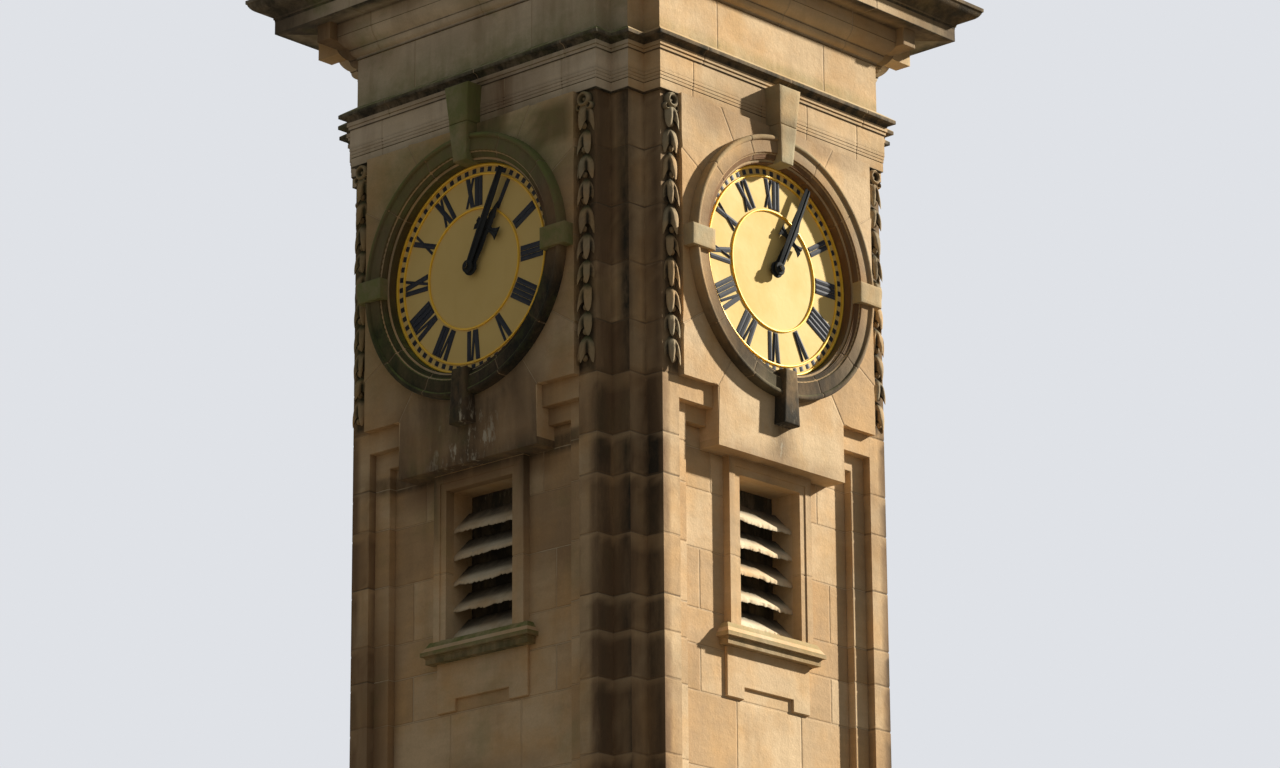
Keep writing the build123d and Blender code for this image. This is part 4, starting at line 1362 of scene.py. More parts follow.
@dataclass(frozen=True)
class Surround:
    """The moulded stone ring round a dial, in voussoirs, and the four keys let into it."""

    inside: float = 0.774
    outside: float = 0.964
    hollow: float = 0.845
    roll: float = 0.925
    front: float = 0.058
    key_foot: float = 0.768
    key_halves: Pair = (0.060, 0.114)
    key_prouds: Pair = (0.088, 0.124)
    key_split: float = 1.05
    key_gap: float = 0.002
    key_step: float = 0.004
    side_key: Pair = (0.787, 1.022)
    side_key_half: float = 0.075
    side_key_proud: float = 0.093
    foot_key_foot: float = -1.169
    foot_key_halves: Pair = (0.084, 0.060)
    foot_key_proud: float = 0.098
    bedded: float = 0.01
    joints: tuple[float, ...] = (0.0, 23.0, 52.0, 90.0, 128.0, 157.0, 180.0, 203.0, 232.0, 270.0, 308.0,
                                 337.0, 360.0)

    @property
    def section(self) -> Profile:
        """The ring's section: a small round, steps, a hollow, a flat and the outer roll."""
        points = [(self.inside, -self.front), (self.inside, 0.008)]
        points += arc((self.inside, 0.008), (0.797, 0.018), -0.004, 4)
        points += [(0.797, 0.030), (0.8045, 0.0305), (0.8055, 0.034), (0.812, 0.0345)]
        points += [*arc((0.812, 0.0345), (0.841, self.front), -0.005, 4), (0.928, self.front)]
        points += [*arc((0.928, self.front), (self.outside, self.front), 0.019, 8), (self.outside, -0.002)]
        return Profile(tuple(points), outside=-1.0)

    def ring(self, side: Side, seed: int) -> Surface:
        """The ring's stones, black towards its foot and green on its upper roll.

        Args:
            side: the face it is on.
            seed: sets the tints.

        Returns:
            The section turned from joint to joint; soot grows with the height below the centre, moss on
            the outer roll with the height above it, and the hollow is dark brown: part stain, part painted
            shade of the recess.
        """
        rng = np.random.default_rng(seed)
        section = self.section
        ring = Surface.joined([
            turned(section, a, b, TOWER.wall, 0.75 * rng.random(), (a % 90.0 != 0.0, b % 90.0 != 0.0))
            for a, b in zip(self.joints[:-1], self.joints[1:])])
        radius = np.hypot(ring.points[:, 0], ring.points[:, 1])
        height = ring.points[:, 1] / radius
        shade, film, green = (1.3, 0.6, 1.0) if side.shady else (0.8, 0.08, 0.2)
        low = np.clip(-height * 1.3 - 0.05, 0.0, 1.0) ** 1.3
        roll = np.clip((radius - self.roll) / 0.02, 0.0, 1.0)
        ring.wear[:, Dirt.SOOT_AND_SHADE.value] = np.clip(film + shade * low, 0.0, 1.0)
        ring.wear[:, Dirt.MOSS.value] = green * np.clip(height * 1.5 + 0.25, 0.0, 1.0) * roll
        # dark brown in the hollow: part stain, part painted shade
        ring.wear[:, Dirt.BROWN.value] = 0.9 * np.clip((self.hollow - radius) / 0.012, 0.0, 1.0)
        return ring

    def keys(self) -> tuple[Surface, Surface]:
        """The keystone with the side keys, and the foot key.

        Returns:
            Blocks whose fronts lean out towards their tops; the keystone has a joint's shadow where two
            stones meet.
        """
        t = TOWER
        wall, s, split, gap, back = t.wall, SKIN, self.key_split, self.key_gap, t.wall - self.bedded
        rise = (split - self.key_foot) / (t.string_foot - self.key_foot)
        narrow, half, wide = (h + s for h in np.interp((0.0, rise, 1.0), (0.0, 1.0), self.key_halves))
        low, proud, high = (wall + p + s for p in np.interp((0.0, rise, 1.0), (0.0, 1.0), self.key_prouds))
        lower = block((-narrow, narrow), (-half, half), self.key_foot, split - gap, (low, proud), t.half,
                      0.4)
        upper = block((-half, half), (-wide, wide), split + gap, t.string_foot,
                      (proud - self.key_step, high), t.half, 0.8)
        near, far = self.side_key
        side_half, front = self.side_key_half + s, wall + self.side_key_proud
        sides = [block(ends, ends, -side_half, side_half, (front, front + s), back, tint)
                 for ends, tint in (((near, far), 0.6), ((-far, -near), 0.3))]
        foot_half, top_half = (half + s for half in self.foot_key_halves)
        foot = block((-foot_half, foot_half), (-top_half, top_half), self.foot_key_foot, -self.key_foot,
                     (wall + self.foot_key_proud,) * 2, back, 0.5, 0.012)
        return Surface.joined([lower, upper, *sides]), foot

    def make(self, side: Side, seed: int) -> None:
        """Builds one face's surround."""
        ring, (stones, foot) = self.ring(side, seed), self.keys()
        build(f"surround_stones_{side.word}", ring, side, RING_STONE, smooth=35.0)
        moss, soot_and_shade = (0.8, 0.25) if side.shady else (0.12, 0.05)
        stones.wear[:, Dirt.MOSS.value] = moss
        stones.wear[:, Dirt.SOOT_AND_SHADE.value] = soot_and_shade
        build(f"key_stones_{side.word}", stones, side, KEY_STONE, smooth=50.0,
              stands_for=("surround_keys",))
        build(f"foot_key_{side.word}", foot, side, FOOT_KEY_STONE, smooth=50.0,
              stands_for=("surround_keys",))


class Stroke(Enum):
    """A stroke of a numeral: where its foot and its top are from the letter's middle, and its width."""

    UPRIGHT = (0.0, 0.0, 0.037)
    V_THICK = (-0.004, -0.026, 0.040)
    V_THIN = (0.012, 0.032, 0.022)
    X_THICK = (0.024, -0.024, 0.040)
    X_THIN = (-0.031, 0.031, 0.022)


LETTERS = {"I": (0.037, (Stroke.UPRIGHT,)), "V": (0.086, (Stroke.V_THICK, Stroke.V_THIN)),
           "X": (0.086, (Stroke.X_THICK, Stroke.X_THIN))}
HOURS = ("XII", "I", "II", "III", "IIII", "V", "VI", "VII", "VIII", "IX", "X", "XI")


@dataclass(frozen=True)
class Dial:
    """What stands on a dial's face: gilt rings, minute squares, raised numerals and the hands' arbor."""

    rings: tuple[tuple[float, float, float], ...] = ((0.760, 0.016, 0.012), (0.694, 0.012, 0.010),
                                                     (0.442, 0.012, 0.010))
    numeral_foot: float = 0.459
    numeral_top: float = 0.679
    numeral_rise: float = 0.011
    gap: float = 0.002
    squares: int = 60
    square_half: float = 0.019
    square_foot: float = 0.7085
    square_top: float = 0.7435
    square_rise: float = 0.006

    def gilt_rings(self) -> Surface:
        """Rounded beads over the dial's rings, turned a full circle."""
        half = ((-1.25, 0.0), (-1.22, 0.7), (-1.05, 1.08), (-0.5, 1.27))
        shape = (*half, (0.0, 1.33), *((-x, y) for x, y in half[::-1]))
        beads = []
        for radius, width, rise in self.rings:
            section = Profile(tuple((radius + x * width / 2, y * rise) for x, y in shape), outside=-1.0)
            beads.append(turned(section, 0.0, 360.0, TOWER.dial, skin=0.0))
        return Surface.joined(beads)

    @staticmethod
    def ridged(left: Array, right: Array, low: float, high: float, rise: float) -> Surface:
        """A raised bar with a ridge down its middle and sloping ends.

        Args:
            left: its left edge at the foot and at the top.
            right: its right edge at the foot and at the top.
            low: distance of its foot from the dial's centre.
            high: distance of its top.
            rise: height of its ridge.

        Returns:
            Point (i, j) is share i between the edges and share j from foot to top, raised by the lower
            of the heights that its column and its row ask for.
        """
        across, up = np.array((0.0, 0.04, 0.5, 0.96, 1.0)), np.array((0.0, 0.0, 0.04, 0.96, 1.0, 1.0))
        ridge, ends = np.array((0.0, 0.4, 1.0, 0.4, 0.0)), np.array((0.0, 0.35, 1.0, 1.0, 0.35, 0.0))
        start = left[0] + (left[1] - left[0]) * up
        end = right[0] + (right[1] - right[0]) * up
        x = start[None] + (end - start)[None] * across[:, None]
        y = np.broadcast_to(low + (high - low) * up, x.shape)
        level = rise * np.minimum(ridge[:, None], ends[None])
        points = np.stack((x, y, TOWER.dial + level), -1)
        return Surface.of_grid(points, worn(points, 0.5))

    @staticmethod
    def at_hour(surface: Surface, degrees: float) -> Surface:
        """A surface drawn upright at 12, turned clockwise about the dial's centre."""
        c, s = math.cos(math.radians(degrees)), math.sin(math.radians(degrees))
        turn = np.array(((c, -s, 0.0), (s, c, 0.0), (0.0, 0.0, 1.0)))
        return surface.changed(lambda p: p @ turn)

    def numerals(self) -> Surface:
        """The twelve numerals.

        Returns:
            Each word's letters set side by side about its hour, their strokes as ridged bars, all with
            their tops outwards.
        """
        pieces = []
        foot, top, rise = self.numeral_foot, self.numeral_top, self.numeral_rise
        for hour, word in enumerate(HOURS):
            start = -(sum(LETTERS[letter][0] for letter in word) + self.gap * (len(word) - 1)) / 2
            for letter in word:
                width, strokes = LETTERS[letter]
                for stroke in strokes:
                    middle = start + width / 2 + np.array(stroke.value[:2])
                    half = stroke.value[2] / 2
                    bar = self.ridged(middle - half, middle + half, foot, top, rise)
                    pieces.append(self.at_hour(bar, 30.0 * hour))
                start += width + self.gap
        return Surface.joined(pieces)

    def minutes(self) -> Surface:
        """The sixty squares of the minute track."""
        edges = np.full(2, self.square_half)
        square = self.ridged(-edges, edges, self.square_foot, self.square_top, self.square_rise)
        return Surface.joined([self.at_hour(square, 360.0 * i / self.squares) for i in range(self.squares)])

    def arbor(self) -> Surface:
        """The collar behind the hands and the cap before them."""
        collar = Profile(((0.026, 0.0), (0.026, 0.028), (0.0225, 0.031), (0.0135, 0.031)))
        cap = Profile(((0.0, 0.0995), (0.014, 0.0985), (0.0215, 0.0965), (0.0235, 0.093), (0.0235, 0.0868),
                       (0.0135, 0.0868)), outside=-1.0)
        back, front = (turned(part, 0.0, 360.0, TOWER.dial, skin=0.0, step=15.0) for part in (collar, cap))
        return Surface.joined([back.flipped(), front])

    def make(self, side: Side) -> None:
        """Builds one face's dial work."""
        build(f"gilt_rings_{side.word}", self.gilt_rings(), side, GILDING)
        build(f"numerals_{side.word}", self.numerals(), side, NUMERAL_PAINT, smooth=5.0)
        build(f"minute_squares_{side.word}", self.minutes(), side, NUMERAL_PAINT, smooth=5.0)
        build(f"arbor_{side.word}", self.arbor(), side, HAND_PAINT)


@dataclass(frozen=True)
class Bar:
    """A straight part of a hand: half widths with their distances along it, and how it is turned."""

    widths: tuple[tuple[float, float], ...]
    along: float = 0.0
    turn: float = 0.0
    notch: float = 0.0


@dataclass(frozen=True)
class Hand:
    """A hand with two ridges and a groove down its middle, and a bored boss."""

    kind: str
    bars: tuple[Bar, ...]
    angle: float
    gap: float
    boss: float
    rim: float = 0.004
    ridge: float = 0.012
    narrow: float = 0.02
    boss_height: float = 0.016
    bore: float = 0.0125

    def blade(self, bar: Bar) -> Surface:
        """A part of the hand as a closed bar.

        Args:
            bar: which part.

        Returns:
            Point (i, j) is corner i of the section, scaled across by the half width at distance j, and
            both ends draw together on the middle line. The groove is marked black as painted shade, but the
            hand's paint does not read that mark.
        """
        rim, ridge = self.rim, self.ridge
        corners = np.array(((-1.0, 0.0), (-1.0, rim), (-0.34, ridge), (-0.1, rim), (0.06, rim), (0.3, ridge),
                            (1.0, rim), (1.0, 0.0), (-1.0, 0.0)))
        half, along = np.array(bar.widths).T
        half = np.concatenate(((0.0,), half, (0.0,)))
        along = np.concatenate((along[:1] + bar.notch, along, along[-1:] - bar.notch))
        end = np.concatenate(((True,), np.zeros(len(half) - 2, bool), (True,)))
        level = np.where(end[None], rim / 2, corners[:, 1:])
        narrow = np.minimum(1.0, half / self.narrow)
        level = np.where(level > rim, rim + (level - rim) * narrow, level)
        x = corners[:, :1] * half[None]
        points = np.stack((x, np.broadcast_to(along, x.shape), TOWER.dial + self.gap + level), -1)
        # painted shade in the groove, which the hand's paint does not read
        soot_and_shade = np.where(np.abs(corners[:, :1] + 0.02) < 0.1, 1.0, 0.0)
        surface = Dial.at_hour(Surface.of_grid(points, worn(points, 0.5, 0.0, soot_and_shade)), bar.turn)
        return Dial.at_hour(surface.moved(up=bar.along), self.angle)

    def hub(self) -> Surface:
        """The boss, turned a full circle round its bore."""
        r, h, b = self.boss, self.boss_height, self.bore
        section = Profile(((b, 0.0), (b, h), (r * 0.55, h), (r * 0.6, h - 0.003), (r * 0.9, h - 0.004),
                           (r, h - 0.009), (r, 0.0), (b, 0.0)), outside=-1.0)
        return turned(section, 0.0, 360.0, TOWER.dial + self.gap, skin=0.0, step=10.0)

    def make(self, side: Side) -> None:
        """Builds the hand for one face, on its own body."""
        node = f"{self.kind}_hand_{side.word}"
        parts = Surface.joined([*(self.blade(bar) for bar in self.bars), self.hub()])
        build(f"{self.kind}_pointer_{side.word}", parts, side, HAND_PAINT, body=node,
              smooth=20.0, stands_for=(node,))


HANDS = (
    Hand("hour", (Bar(((0.034, 0.0), (0.038, 0.15), (0.030, 0.27), (0.034, 0.30), (0.034, 0.356),
                       (0.028, 0.378), (0.036, 0.398), (0.022, 0.440), (0.003, 0.505))),
                  Bar(((0.052, -0.120), (0.034, -0.095), (0.019, -0.055), (0.026, 0.0), (0.019, 0.055),
                       (0.034, 0.095), (0.052, 0.120)), along=0.300, turn=90.0, notch=0.022)),
         32.0, 0.034, 0.060),
    Hand("minute", (Bar(((0.026, 0.0), (0.033, 0.25), (0.033, 0.55), (0.026, 0.745)), notch=0.014),),
         26.0, 0.064, 0.048),
)


@dataclass(frozen=True)
class Window:
    """A louvred window: its trim in two steps, its sill with a lip, and its worn stone blades."""

    blades: int = 5
    pitch: float = 0.192
    setback: float = 0.012
    run: float = 0.1626
    nose: float = 0.030
    wear: float = 0.028
    wave: float = 0.004
    weights: tuple[float, ...] = (0.0, 0.35, 1.0, 1.0, 0.5, 0.2, 0.05, 0.0)
    # black at each blade's back, light at its front edge: part soot, part painted shade from the blade above
    blade_soot_and_shade: tuple[float, ...] = (1.0, 1.0, 0.4, 0.0, 0.0, 0.1, 0.75, 1.0)
    broken_way: Pair = (-0.75, 1.0)
    columns: int = 71
    jamb_cut: float = -2.153
    sill_half: float = 0.408
    sill_turn: float = 0.27
    lip_foot: float = 0.054
    lip_top: float = 0.078
    shade_sheet_front: float = 1.174
    shade_sheet_rear: float = 1.166

    def trim(self, seed: int) -> Surface:
        """The two-step trim carried up one jamb, over the head and down the other, in three stones."""
        t = TOWER
        rng = np.random.default_rng(seed)
        section = Profile(((0.0, -0.02), (0.0, 0.054), (0.054, 0.054), (0.054, 0.062), (0.108, 0.062),
                           (0.108, 0.0)), outside=-1.0)
        half, foot, head, cut = t.window_half, t.sill_seat, t.window_head, self.jamb_cut
        left = [Station((-half, h, t.field), (-1, 0, 0)) for h in (foot, cut)]
        right = [Station((half, h, t.field), (1, 0, 0)) for h in (cut, foot)]
        corners = [Station((sign * half, head, t.field), (sign, 1, 0)) for sign in (-1, 1)]
        over = [left[1], *corners, right[0]]
        stones = ((left, (False, True)), (over, (True, True)), (right, (True, False)))
        return Surface.joined([carried(section, run, OUT, cuts, rng.random()) for run, cuts in stones])

    def sill(self, damp: float) -> Surface:
        """The sill: a body, a lip with two fine lines and a sloping top.

        Args:
            damp: how damp the side is, from 0 to 1.

        Returns:
            Its section carried round its three sides; moss grows on its lip and top, soot on its foot.
        """
        t = TOWER
        half, turn = self.sill_half, self.sill_turn
        foot, seat = t.sill_foot, t.sill_seat
        lip, top = foot + self.lip_foot, foot + self.lip_top
        section = Profile.soiled(((0.0, foot, 1.0), (0.080, foot, 0.9), (0.080, lip - 0.012, 0.75),
                                  (0.086, lip - 0.011, 0.7), (0.086, lip, 0.7), (0.108, lip, 0.6),
                                  (0.108, top, 0.5), (0.100, top + 0.002, 0.3), (0.062, seat, 0.1),
                                  (-0.004, seat, 0.1)))
        run = ((-half, (-1, 0, 0)), (-half, (-1, 0, 1)), (turn - half, (0, 0, 1)), (0.0, (0, 0, 1)),
               (half - turn, (0, 0, 1)), (half, (1, 0, 1)), (half, (1, 0, 0)))
        path = [Station((u, 0, t.field), direction) for u, direction in run]
        sill = carried(section, path, UP, (False, False), 0.35)
        high = np.clip((sill.points[:, 1] - lip) / 0.03, 0.0, 1.0)
        sill.wear[:, Dirt.MOSS.value] = np.clip(damp + 0.2, 0.0, 1.0) * (0.35 + 0.65 * high)
        sill.wear[:, Dirt.SOOT_AND_SHADE.value] *= 0.4 + 0.6 * damp
        return sill

    def louvres(self, seed: int) -> Surface:
        """The blades, their lower edges broken away.

        Args:
            seed: sets the breaks.

        Returns:
            Point (i, j) is the section's point j at place i across; its two lower front points move up
            the slope and back by smoothed chance.
        """
        t = TOWER
        rng = np.random.default_rng(seed)
        count, run, nose = self.columns, self.run, self.nose
        u = np.linspace(-t.window_half, t.window_half, count)
        section = np.array(((-run, run), (-0.02, 0.02), (0.0, 0.0), (0.0, 0.010), (-0.008, 0.036),
                            (-0.045, 0.045 + nose), (-0.085, 0.085 + nose), (-run, run + nose)))
        # the blades' darkness: part soot, part painted shade from the blade above
        weight, soot_and_shade, slope = np.array(self.weights), np.array(self.blade_soot_and_shade), np.array(self.broken_way)
        blades = []
        for i in range(self.blades):
            rough = np.convolve(rng.random(count + 12), np.hanning(13) / 6.0, "valid")
            fine = np.convolve(rng.random(count + 4), np.hanning(5) / 2.0, "valid")
            broken = self.wear * (0.9 * rough + 0.55 * fine - 0.25 + 0.25 * rng.random(count))
            moved = section[None] + slope * (np.clip(broken, 0.0, None)[:, None] * weight)[..., None]
            wave = self.wave * np.sin(u * (9.0 + 5.0 * rng.random()) + 6.0 * rng.random())
            points = np.stack((np.broadcast_to(u[:, None], moved.shape[:2]),
                               moved[..., 1] + t.sill_seat + i * self.pitch + wave[:, None] * weight,
                               moved[..., 0] + t.field - self.setback), -1)
            blades.append(Surface.of_grid(points, worn(points, rng.random(), 0.0, soot_and_shade)))
        return Surface.joined(blades)

    def shade_sheet(self) -> Surface:
        """A black sheet behind the blades, with a face on either side: painted shade of the dark room
        inside.
        """
        ends = (-TOWER.window_half, TOWER.window_half)
        middle = (self.shade_sheet_front + self.shade_sheet_rear) / 2
        sheet = block(ends, ends, TOWER.sill_seat, TOWER.window_head, (self.shade_sheet_front,) * 2, middle,
                      rounding=0.001)
        # black all over: painted shade
        sheet.wear[:, Dirt.SOOT_AND_SHADE.value] = 1.0
        rear = sheet.changed(lambda p: p * np.array((1.0, 1.0, -1.0))).moved(out=2 * middle).flipped()
        return Surface.joined([sheet, rear])

    def make(self, side: Side, seed: int) -> None:
        """Builds one face's window."""
        trim = Surface.joined([self.trim(seed), self.sill(side.damp)])
        build(f"window_trim_{side.word}", trim, side, WALL_STONE)
        blades = Surface.joined([self.louvres(seed + 1), self.shade_sheet()])
        build(f"louvres_{side.word}", blades, side, LOUVRE_STONE, smooth=40.0,
              stands_for=("louvre_blades",))


@dataclass(frozen=True)
class Drop:
    """A carved drop of husks, hung from a rosette, on each pilaster.

    Swell, flare and hang are each a least amount and what chance or the petals add to it.
    """

    across: float = 1.106
    top: float = 1.04
    foot: float = -0.955
    husks: int = 10
    radius: float = 0.070
    rows: int = 14
    columns: int = 25
    petals: tuple[float, ...] = (4.0, 4.0, 5.0, 6.0)
    neck: float = 0.20
    swell: Pair = (0.66, 0.12)
    flare: Pair = (0.5, 0.5)
    flare_start: float = 0.6
    cleft: float = 0.38
    hang: Pair = (0.64, 0.38)
    inner_radii: tuple[float, ...] = (0.2, 0.55, 0.8)
    inner_drops: tuple[float, ...] = (0.55, 0.65, 0.85)
    jitter: float = 0.036
    rosette_height: float = 0.10
    rosette_middle: float = 0.062
    overlap: float = 0.014
    bud_height: float = 0.042
    bud_radius: float = 0.019

    def husk(self, high: float, low: float, rng: np.random.Generator) -> Surface:
        """One husk: a bell that opens in petals.

        Args:
            high: height of its top.
            low: height of its tips.
            rng: chooses its form.

        Returns:
            At angle a round the front and share s down, the radius is a bell's, which swells, draws in
            and flares, times one plus ribs that follow the petals; the tips hang lower than the clefts.
            Past the tips the surface turns back inside and closes.
        """
        petals = rng.choice(self.petals)
        phase = math.pi / petals * rng.integers(2)
        a = np.linspace(-math.pi / 2, math.pi / 2, self.columns)[:, None]
        s = np.linspace(1.0, 0.0, self.rows)[None]
        petal = 0.5 + 0.5 * np.cos(petals * (a - phase))
        cleft = (1.0 - petal) ** 4 * np.clip(2.2 * s - 0.4, 0.0, 1.0)
        swell = self.swell[0] + self.swell[1] * rng.random()
        flare = self.flare[0] + self.flare[1] * rng.random()
        belly = self.neck + swell * np.sin(math.pi * np.clip(s * 0.75, 0.0, 1.0)) ** 0.95
        mouth = flare * np.clip(s - self.flare_start, 0.0, 1.0) ** 1.2 * petal
        radius = (belly + mouth) * (1.0 - self.cleft * cleft)
        drop = s * (self.hang[0] + self.hang[1] * petal**1.5 * s)
        inner_radius = radius[:, :1] * np.array(self.inner_radii)
        inner_drop = drop[:, :1] * np.array(self.inner_drops)
        radius = self.radius * np.clip(np.concatenate((inner_radius, radius), 1), 0.0, 1.05)
        drop = np.concatenate((inner_drop, drop), 1)
        h = high + (low - high) * drop
        points = np.stack((radius * np.sin(a), h, TOWER.half + 0.002 + radius * np.cos(a) * 1.02), -1)
        # the neck, the clefts and the inside are painted black as the shade between the husks
        neck = np.clip(1.15 - 3.0 * s, 0.0, 1.0)
        soot_and_shade = np.clip(np.maximum(1.3 * cleft, neck) + 0.25 * (rng.random(cleft.shape) - 0.4), 0.0, 1.0)
        soot_and_shade = np.concatenate((np.ones(inner_drop.shape), soot_and_shade), 1)
        return Surface.of_grid(points, worn(points, rng.random(), 0.0, soot_and_shade))

    def bud(self, middle: float, size: float, across: float = 0.0, forward: float = 0.02) -> Surface:
        """A small round fruit: radius is the square root of one minus the height's square."""
        v = np.sin(np.linspace(-math.pi / 2, math.pi / 2, 9))[None]
        a = np.linspace(-math.pi * 0.75, math.pi * 0.75, 11)[:, None]
        ring = size * np.sqrt(np.clip(1.0 - v * v, 0.0, 1.0))
        points = np.stack((across + ring * np.sin(a), middle + size * 1.25 * np.broadcast_to(v, (11, 9)),
                           TOWER.half + forward + ring * np.cos(a)), -1)
        return Surface.of_grid(points, worn(points, 0.6, 0.0, 0.2))

    def rosette(self) -> Surface:
        """The scrolled ring at the top, turned about its own middle, with a scroll at either side."""
        # the ring's hollow and its foot are painted dark as their shade
        section = Profile(((0.0, 0.030), (0.010, 0.029), (0.016, 0.018), (0.024, 0.020), (0.033, 0.045),
                           (0.044, 0.050), (0.054, 0.040), (0.058, 0.018), (0.060, 0.0)), outside=-1.0,
                          grime=(0.2, 0.3, 1.0, 1.0, 0.5, 0.0, 0.0, 0.6, 1.0))
        ring = turned(section, 0.0, 360.0, 0.006, skin=0.0, step=18.0)
        scroll = ring.changed(lambda p: p * np.array((0.5, 0.5, 0.8)))
        middle, out = self.top - self.rosette_middle, TOWER.half
        return Surface.joined([ring.moved(0.0, middle, out), scroll.moved(-0.046, middle - 0.052, out),
                               scroll.moved(0.046, middle - 0.052, out)])

    def string(self, seed: int) -> Surface:
        """The whole drop about its own middle line."""
        rng = np.random.default_rng(seed)
        marks = np.linspace(self.top - self.rosette_height, self.foot, self.husks + 1)
        marks[1:-1] += self.jitter * (rng.random(self.husks - 1) - 0.5)
        pieces = [self.rosette()]
        for high, low in zip(marks[:-1], marks[1:]):
            pieces.append(self.husk(high + self.overlap, low, rng))
            across, forward = 0.006 * (rng.random() - 0.5), 0.022 + 0.008 * rng.random()
            pieces.append(self.bud(low + self.bud_height, self.bud_radius, across, forward))
        return Surface.joined(pieces)

    def make(self, side: Side, seed: int) -> None:
        """Builds the two drops of one face."""
        drops = [self.string(seed).moved(-self.across), self.string(seed + 1).moved(self.across)]
        build(f"carved_husks_{side.word}", Surface.joined(drops), side, CARVED_STONE,
              smooth=45.0, stands_for=("carved_drops",))


@dataclass(frozen=True)
class Crown:
    """Blocks under the corona, the blocking course over the cornice and the stone roof."""

    block_half: float = 0.065
    block_inset: float = 0.115
    block_foot: float = 2.040
    block_proud: float = 0.188
    block_bed: float = 0.1
    corner_depth: float = 0.01
    lower_cuts: tuple[float, ...] = (-0.6, 0.25)
    upper_cuts: tuple[float, ...] = (-0.95, -0.15, 0.7)
    eaves: float = 1.445
    eaves_rise: float = 0.07
    crown: float = 0.130
    rise: float = 1.15
    slabs: int = 6
    eaves_cuts: tuple[float, ...] = (-0.5, 0.4)
    slab_cuts: tuple[tuple[float, ...], ...] = ((-1.0, -0.55, 0.0, 0.55, 1.0), (-1.0, -0.3, 0.3, 1.0))

    def blocks(self) -> Surface:
        """The plain blocks beside the corners, under the corona."""
        t = TOWER
        middle, half = t.arris + self.block_inset + self.block_half, self.block_half + SKIN
        spans = [(sign * middle - half, sign * middle + half) for sign in (-1, 1)]
        foot, front, back = self.block_foot - SKIN, (t.half + self.block_proud,) * 2, t.nib + self.block_bed
        return Surface.joined([block(span, span, foot, t.soffit, front, back, 0.5, 0.004) for span in spans])

    def blocking(self, seed: int) -> Surface:
        """Two courses of plain stones that meet at the corners."""
        t = TOWER
        half, middle, ends = t.blocking_half, (t.cornice_top + t.blocking_top) / 2, (self.corner_depth,) * 2
        wall = Ashlar(half, seed)
        wall.course([-half, *self.lower_cuts, half], t.cornice_top, middle, ends)
        wall.course([-half, *self.upper_cuts, half], middle, t.blocking_top, ends)
        return wall.surface()

    def slope(self, seed: int) -> Surface:
        """Slabs on one slope of the roof.

        Args:
            seed: sets the tints.

        Returns:
            Courses laid out flat as share across and distance up the slope, then leaned back: across
            shrinks and distance out falls evenly from the eaves to the crown.
        """
        wall = Ashlar(0.0, seed, inner=3)
        levels = np.linspace(0.0, 1.0, self.slabs + 1)
        for i, (low, high) in enumerate(zip(levels[:-1], levels[1:])):
            wall.course(self.slab_cuts[i % 2], low, high)
        run, foot = self.eaves - self.crown, TOWER.blocking_top + self.eaves_rise
        lean = np.array((self.rise, run)) / math.hypot(self.rise, run)

        def onto(p: Array) -> Array:
            """The leaning place of a flat point."""
            half = self.eaves - run * p[:, 1]
            up = foot + self.rise * p[:, 1] + lean[1] * p[:, 2]
            return np.stack((p[:, 0] * half, up, half + lean[0] * p[:, 2]), -1)

        return wall.surface().changed(onto)

    def make(self, side: Side, seed: int) -> None:
        """Builds the side's share."""
        top = TOWER.blocking_top
        section = Profile(((-0.06, top), (0.0, top), (0.0, top + self.eaves_rise)))
        eaves = Course(section, self.eaves, False, self.eaves_cuts, seed)
        build(f"cornice_block_stones_{side.word}", self.blocks(), side, MOULDED_STONE)
        build(f"blocking_stones_{side.word}", self.blocking(seed + 1), side, MOULDED_STONE)
        slabs = Surface.joined([self.slope(seed + 2), eaves.surface()])
        build(f"roof_slabs_{side.word}", slabs, side, ROOF_STONE)


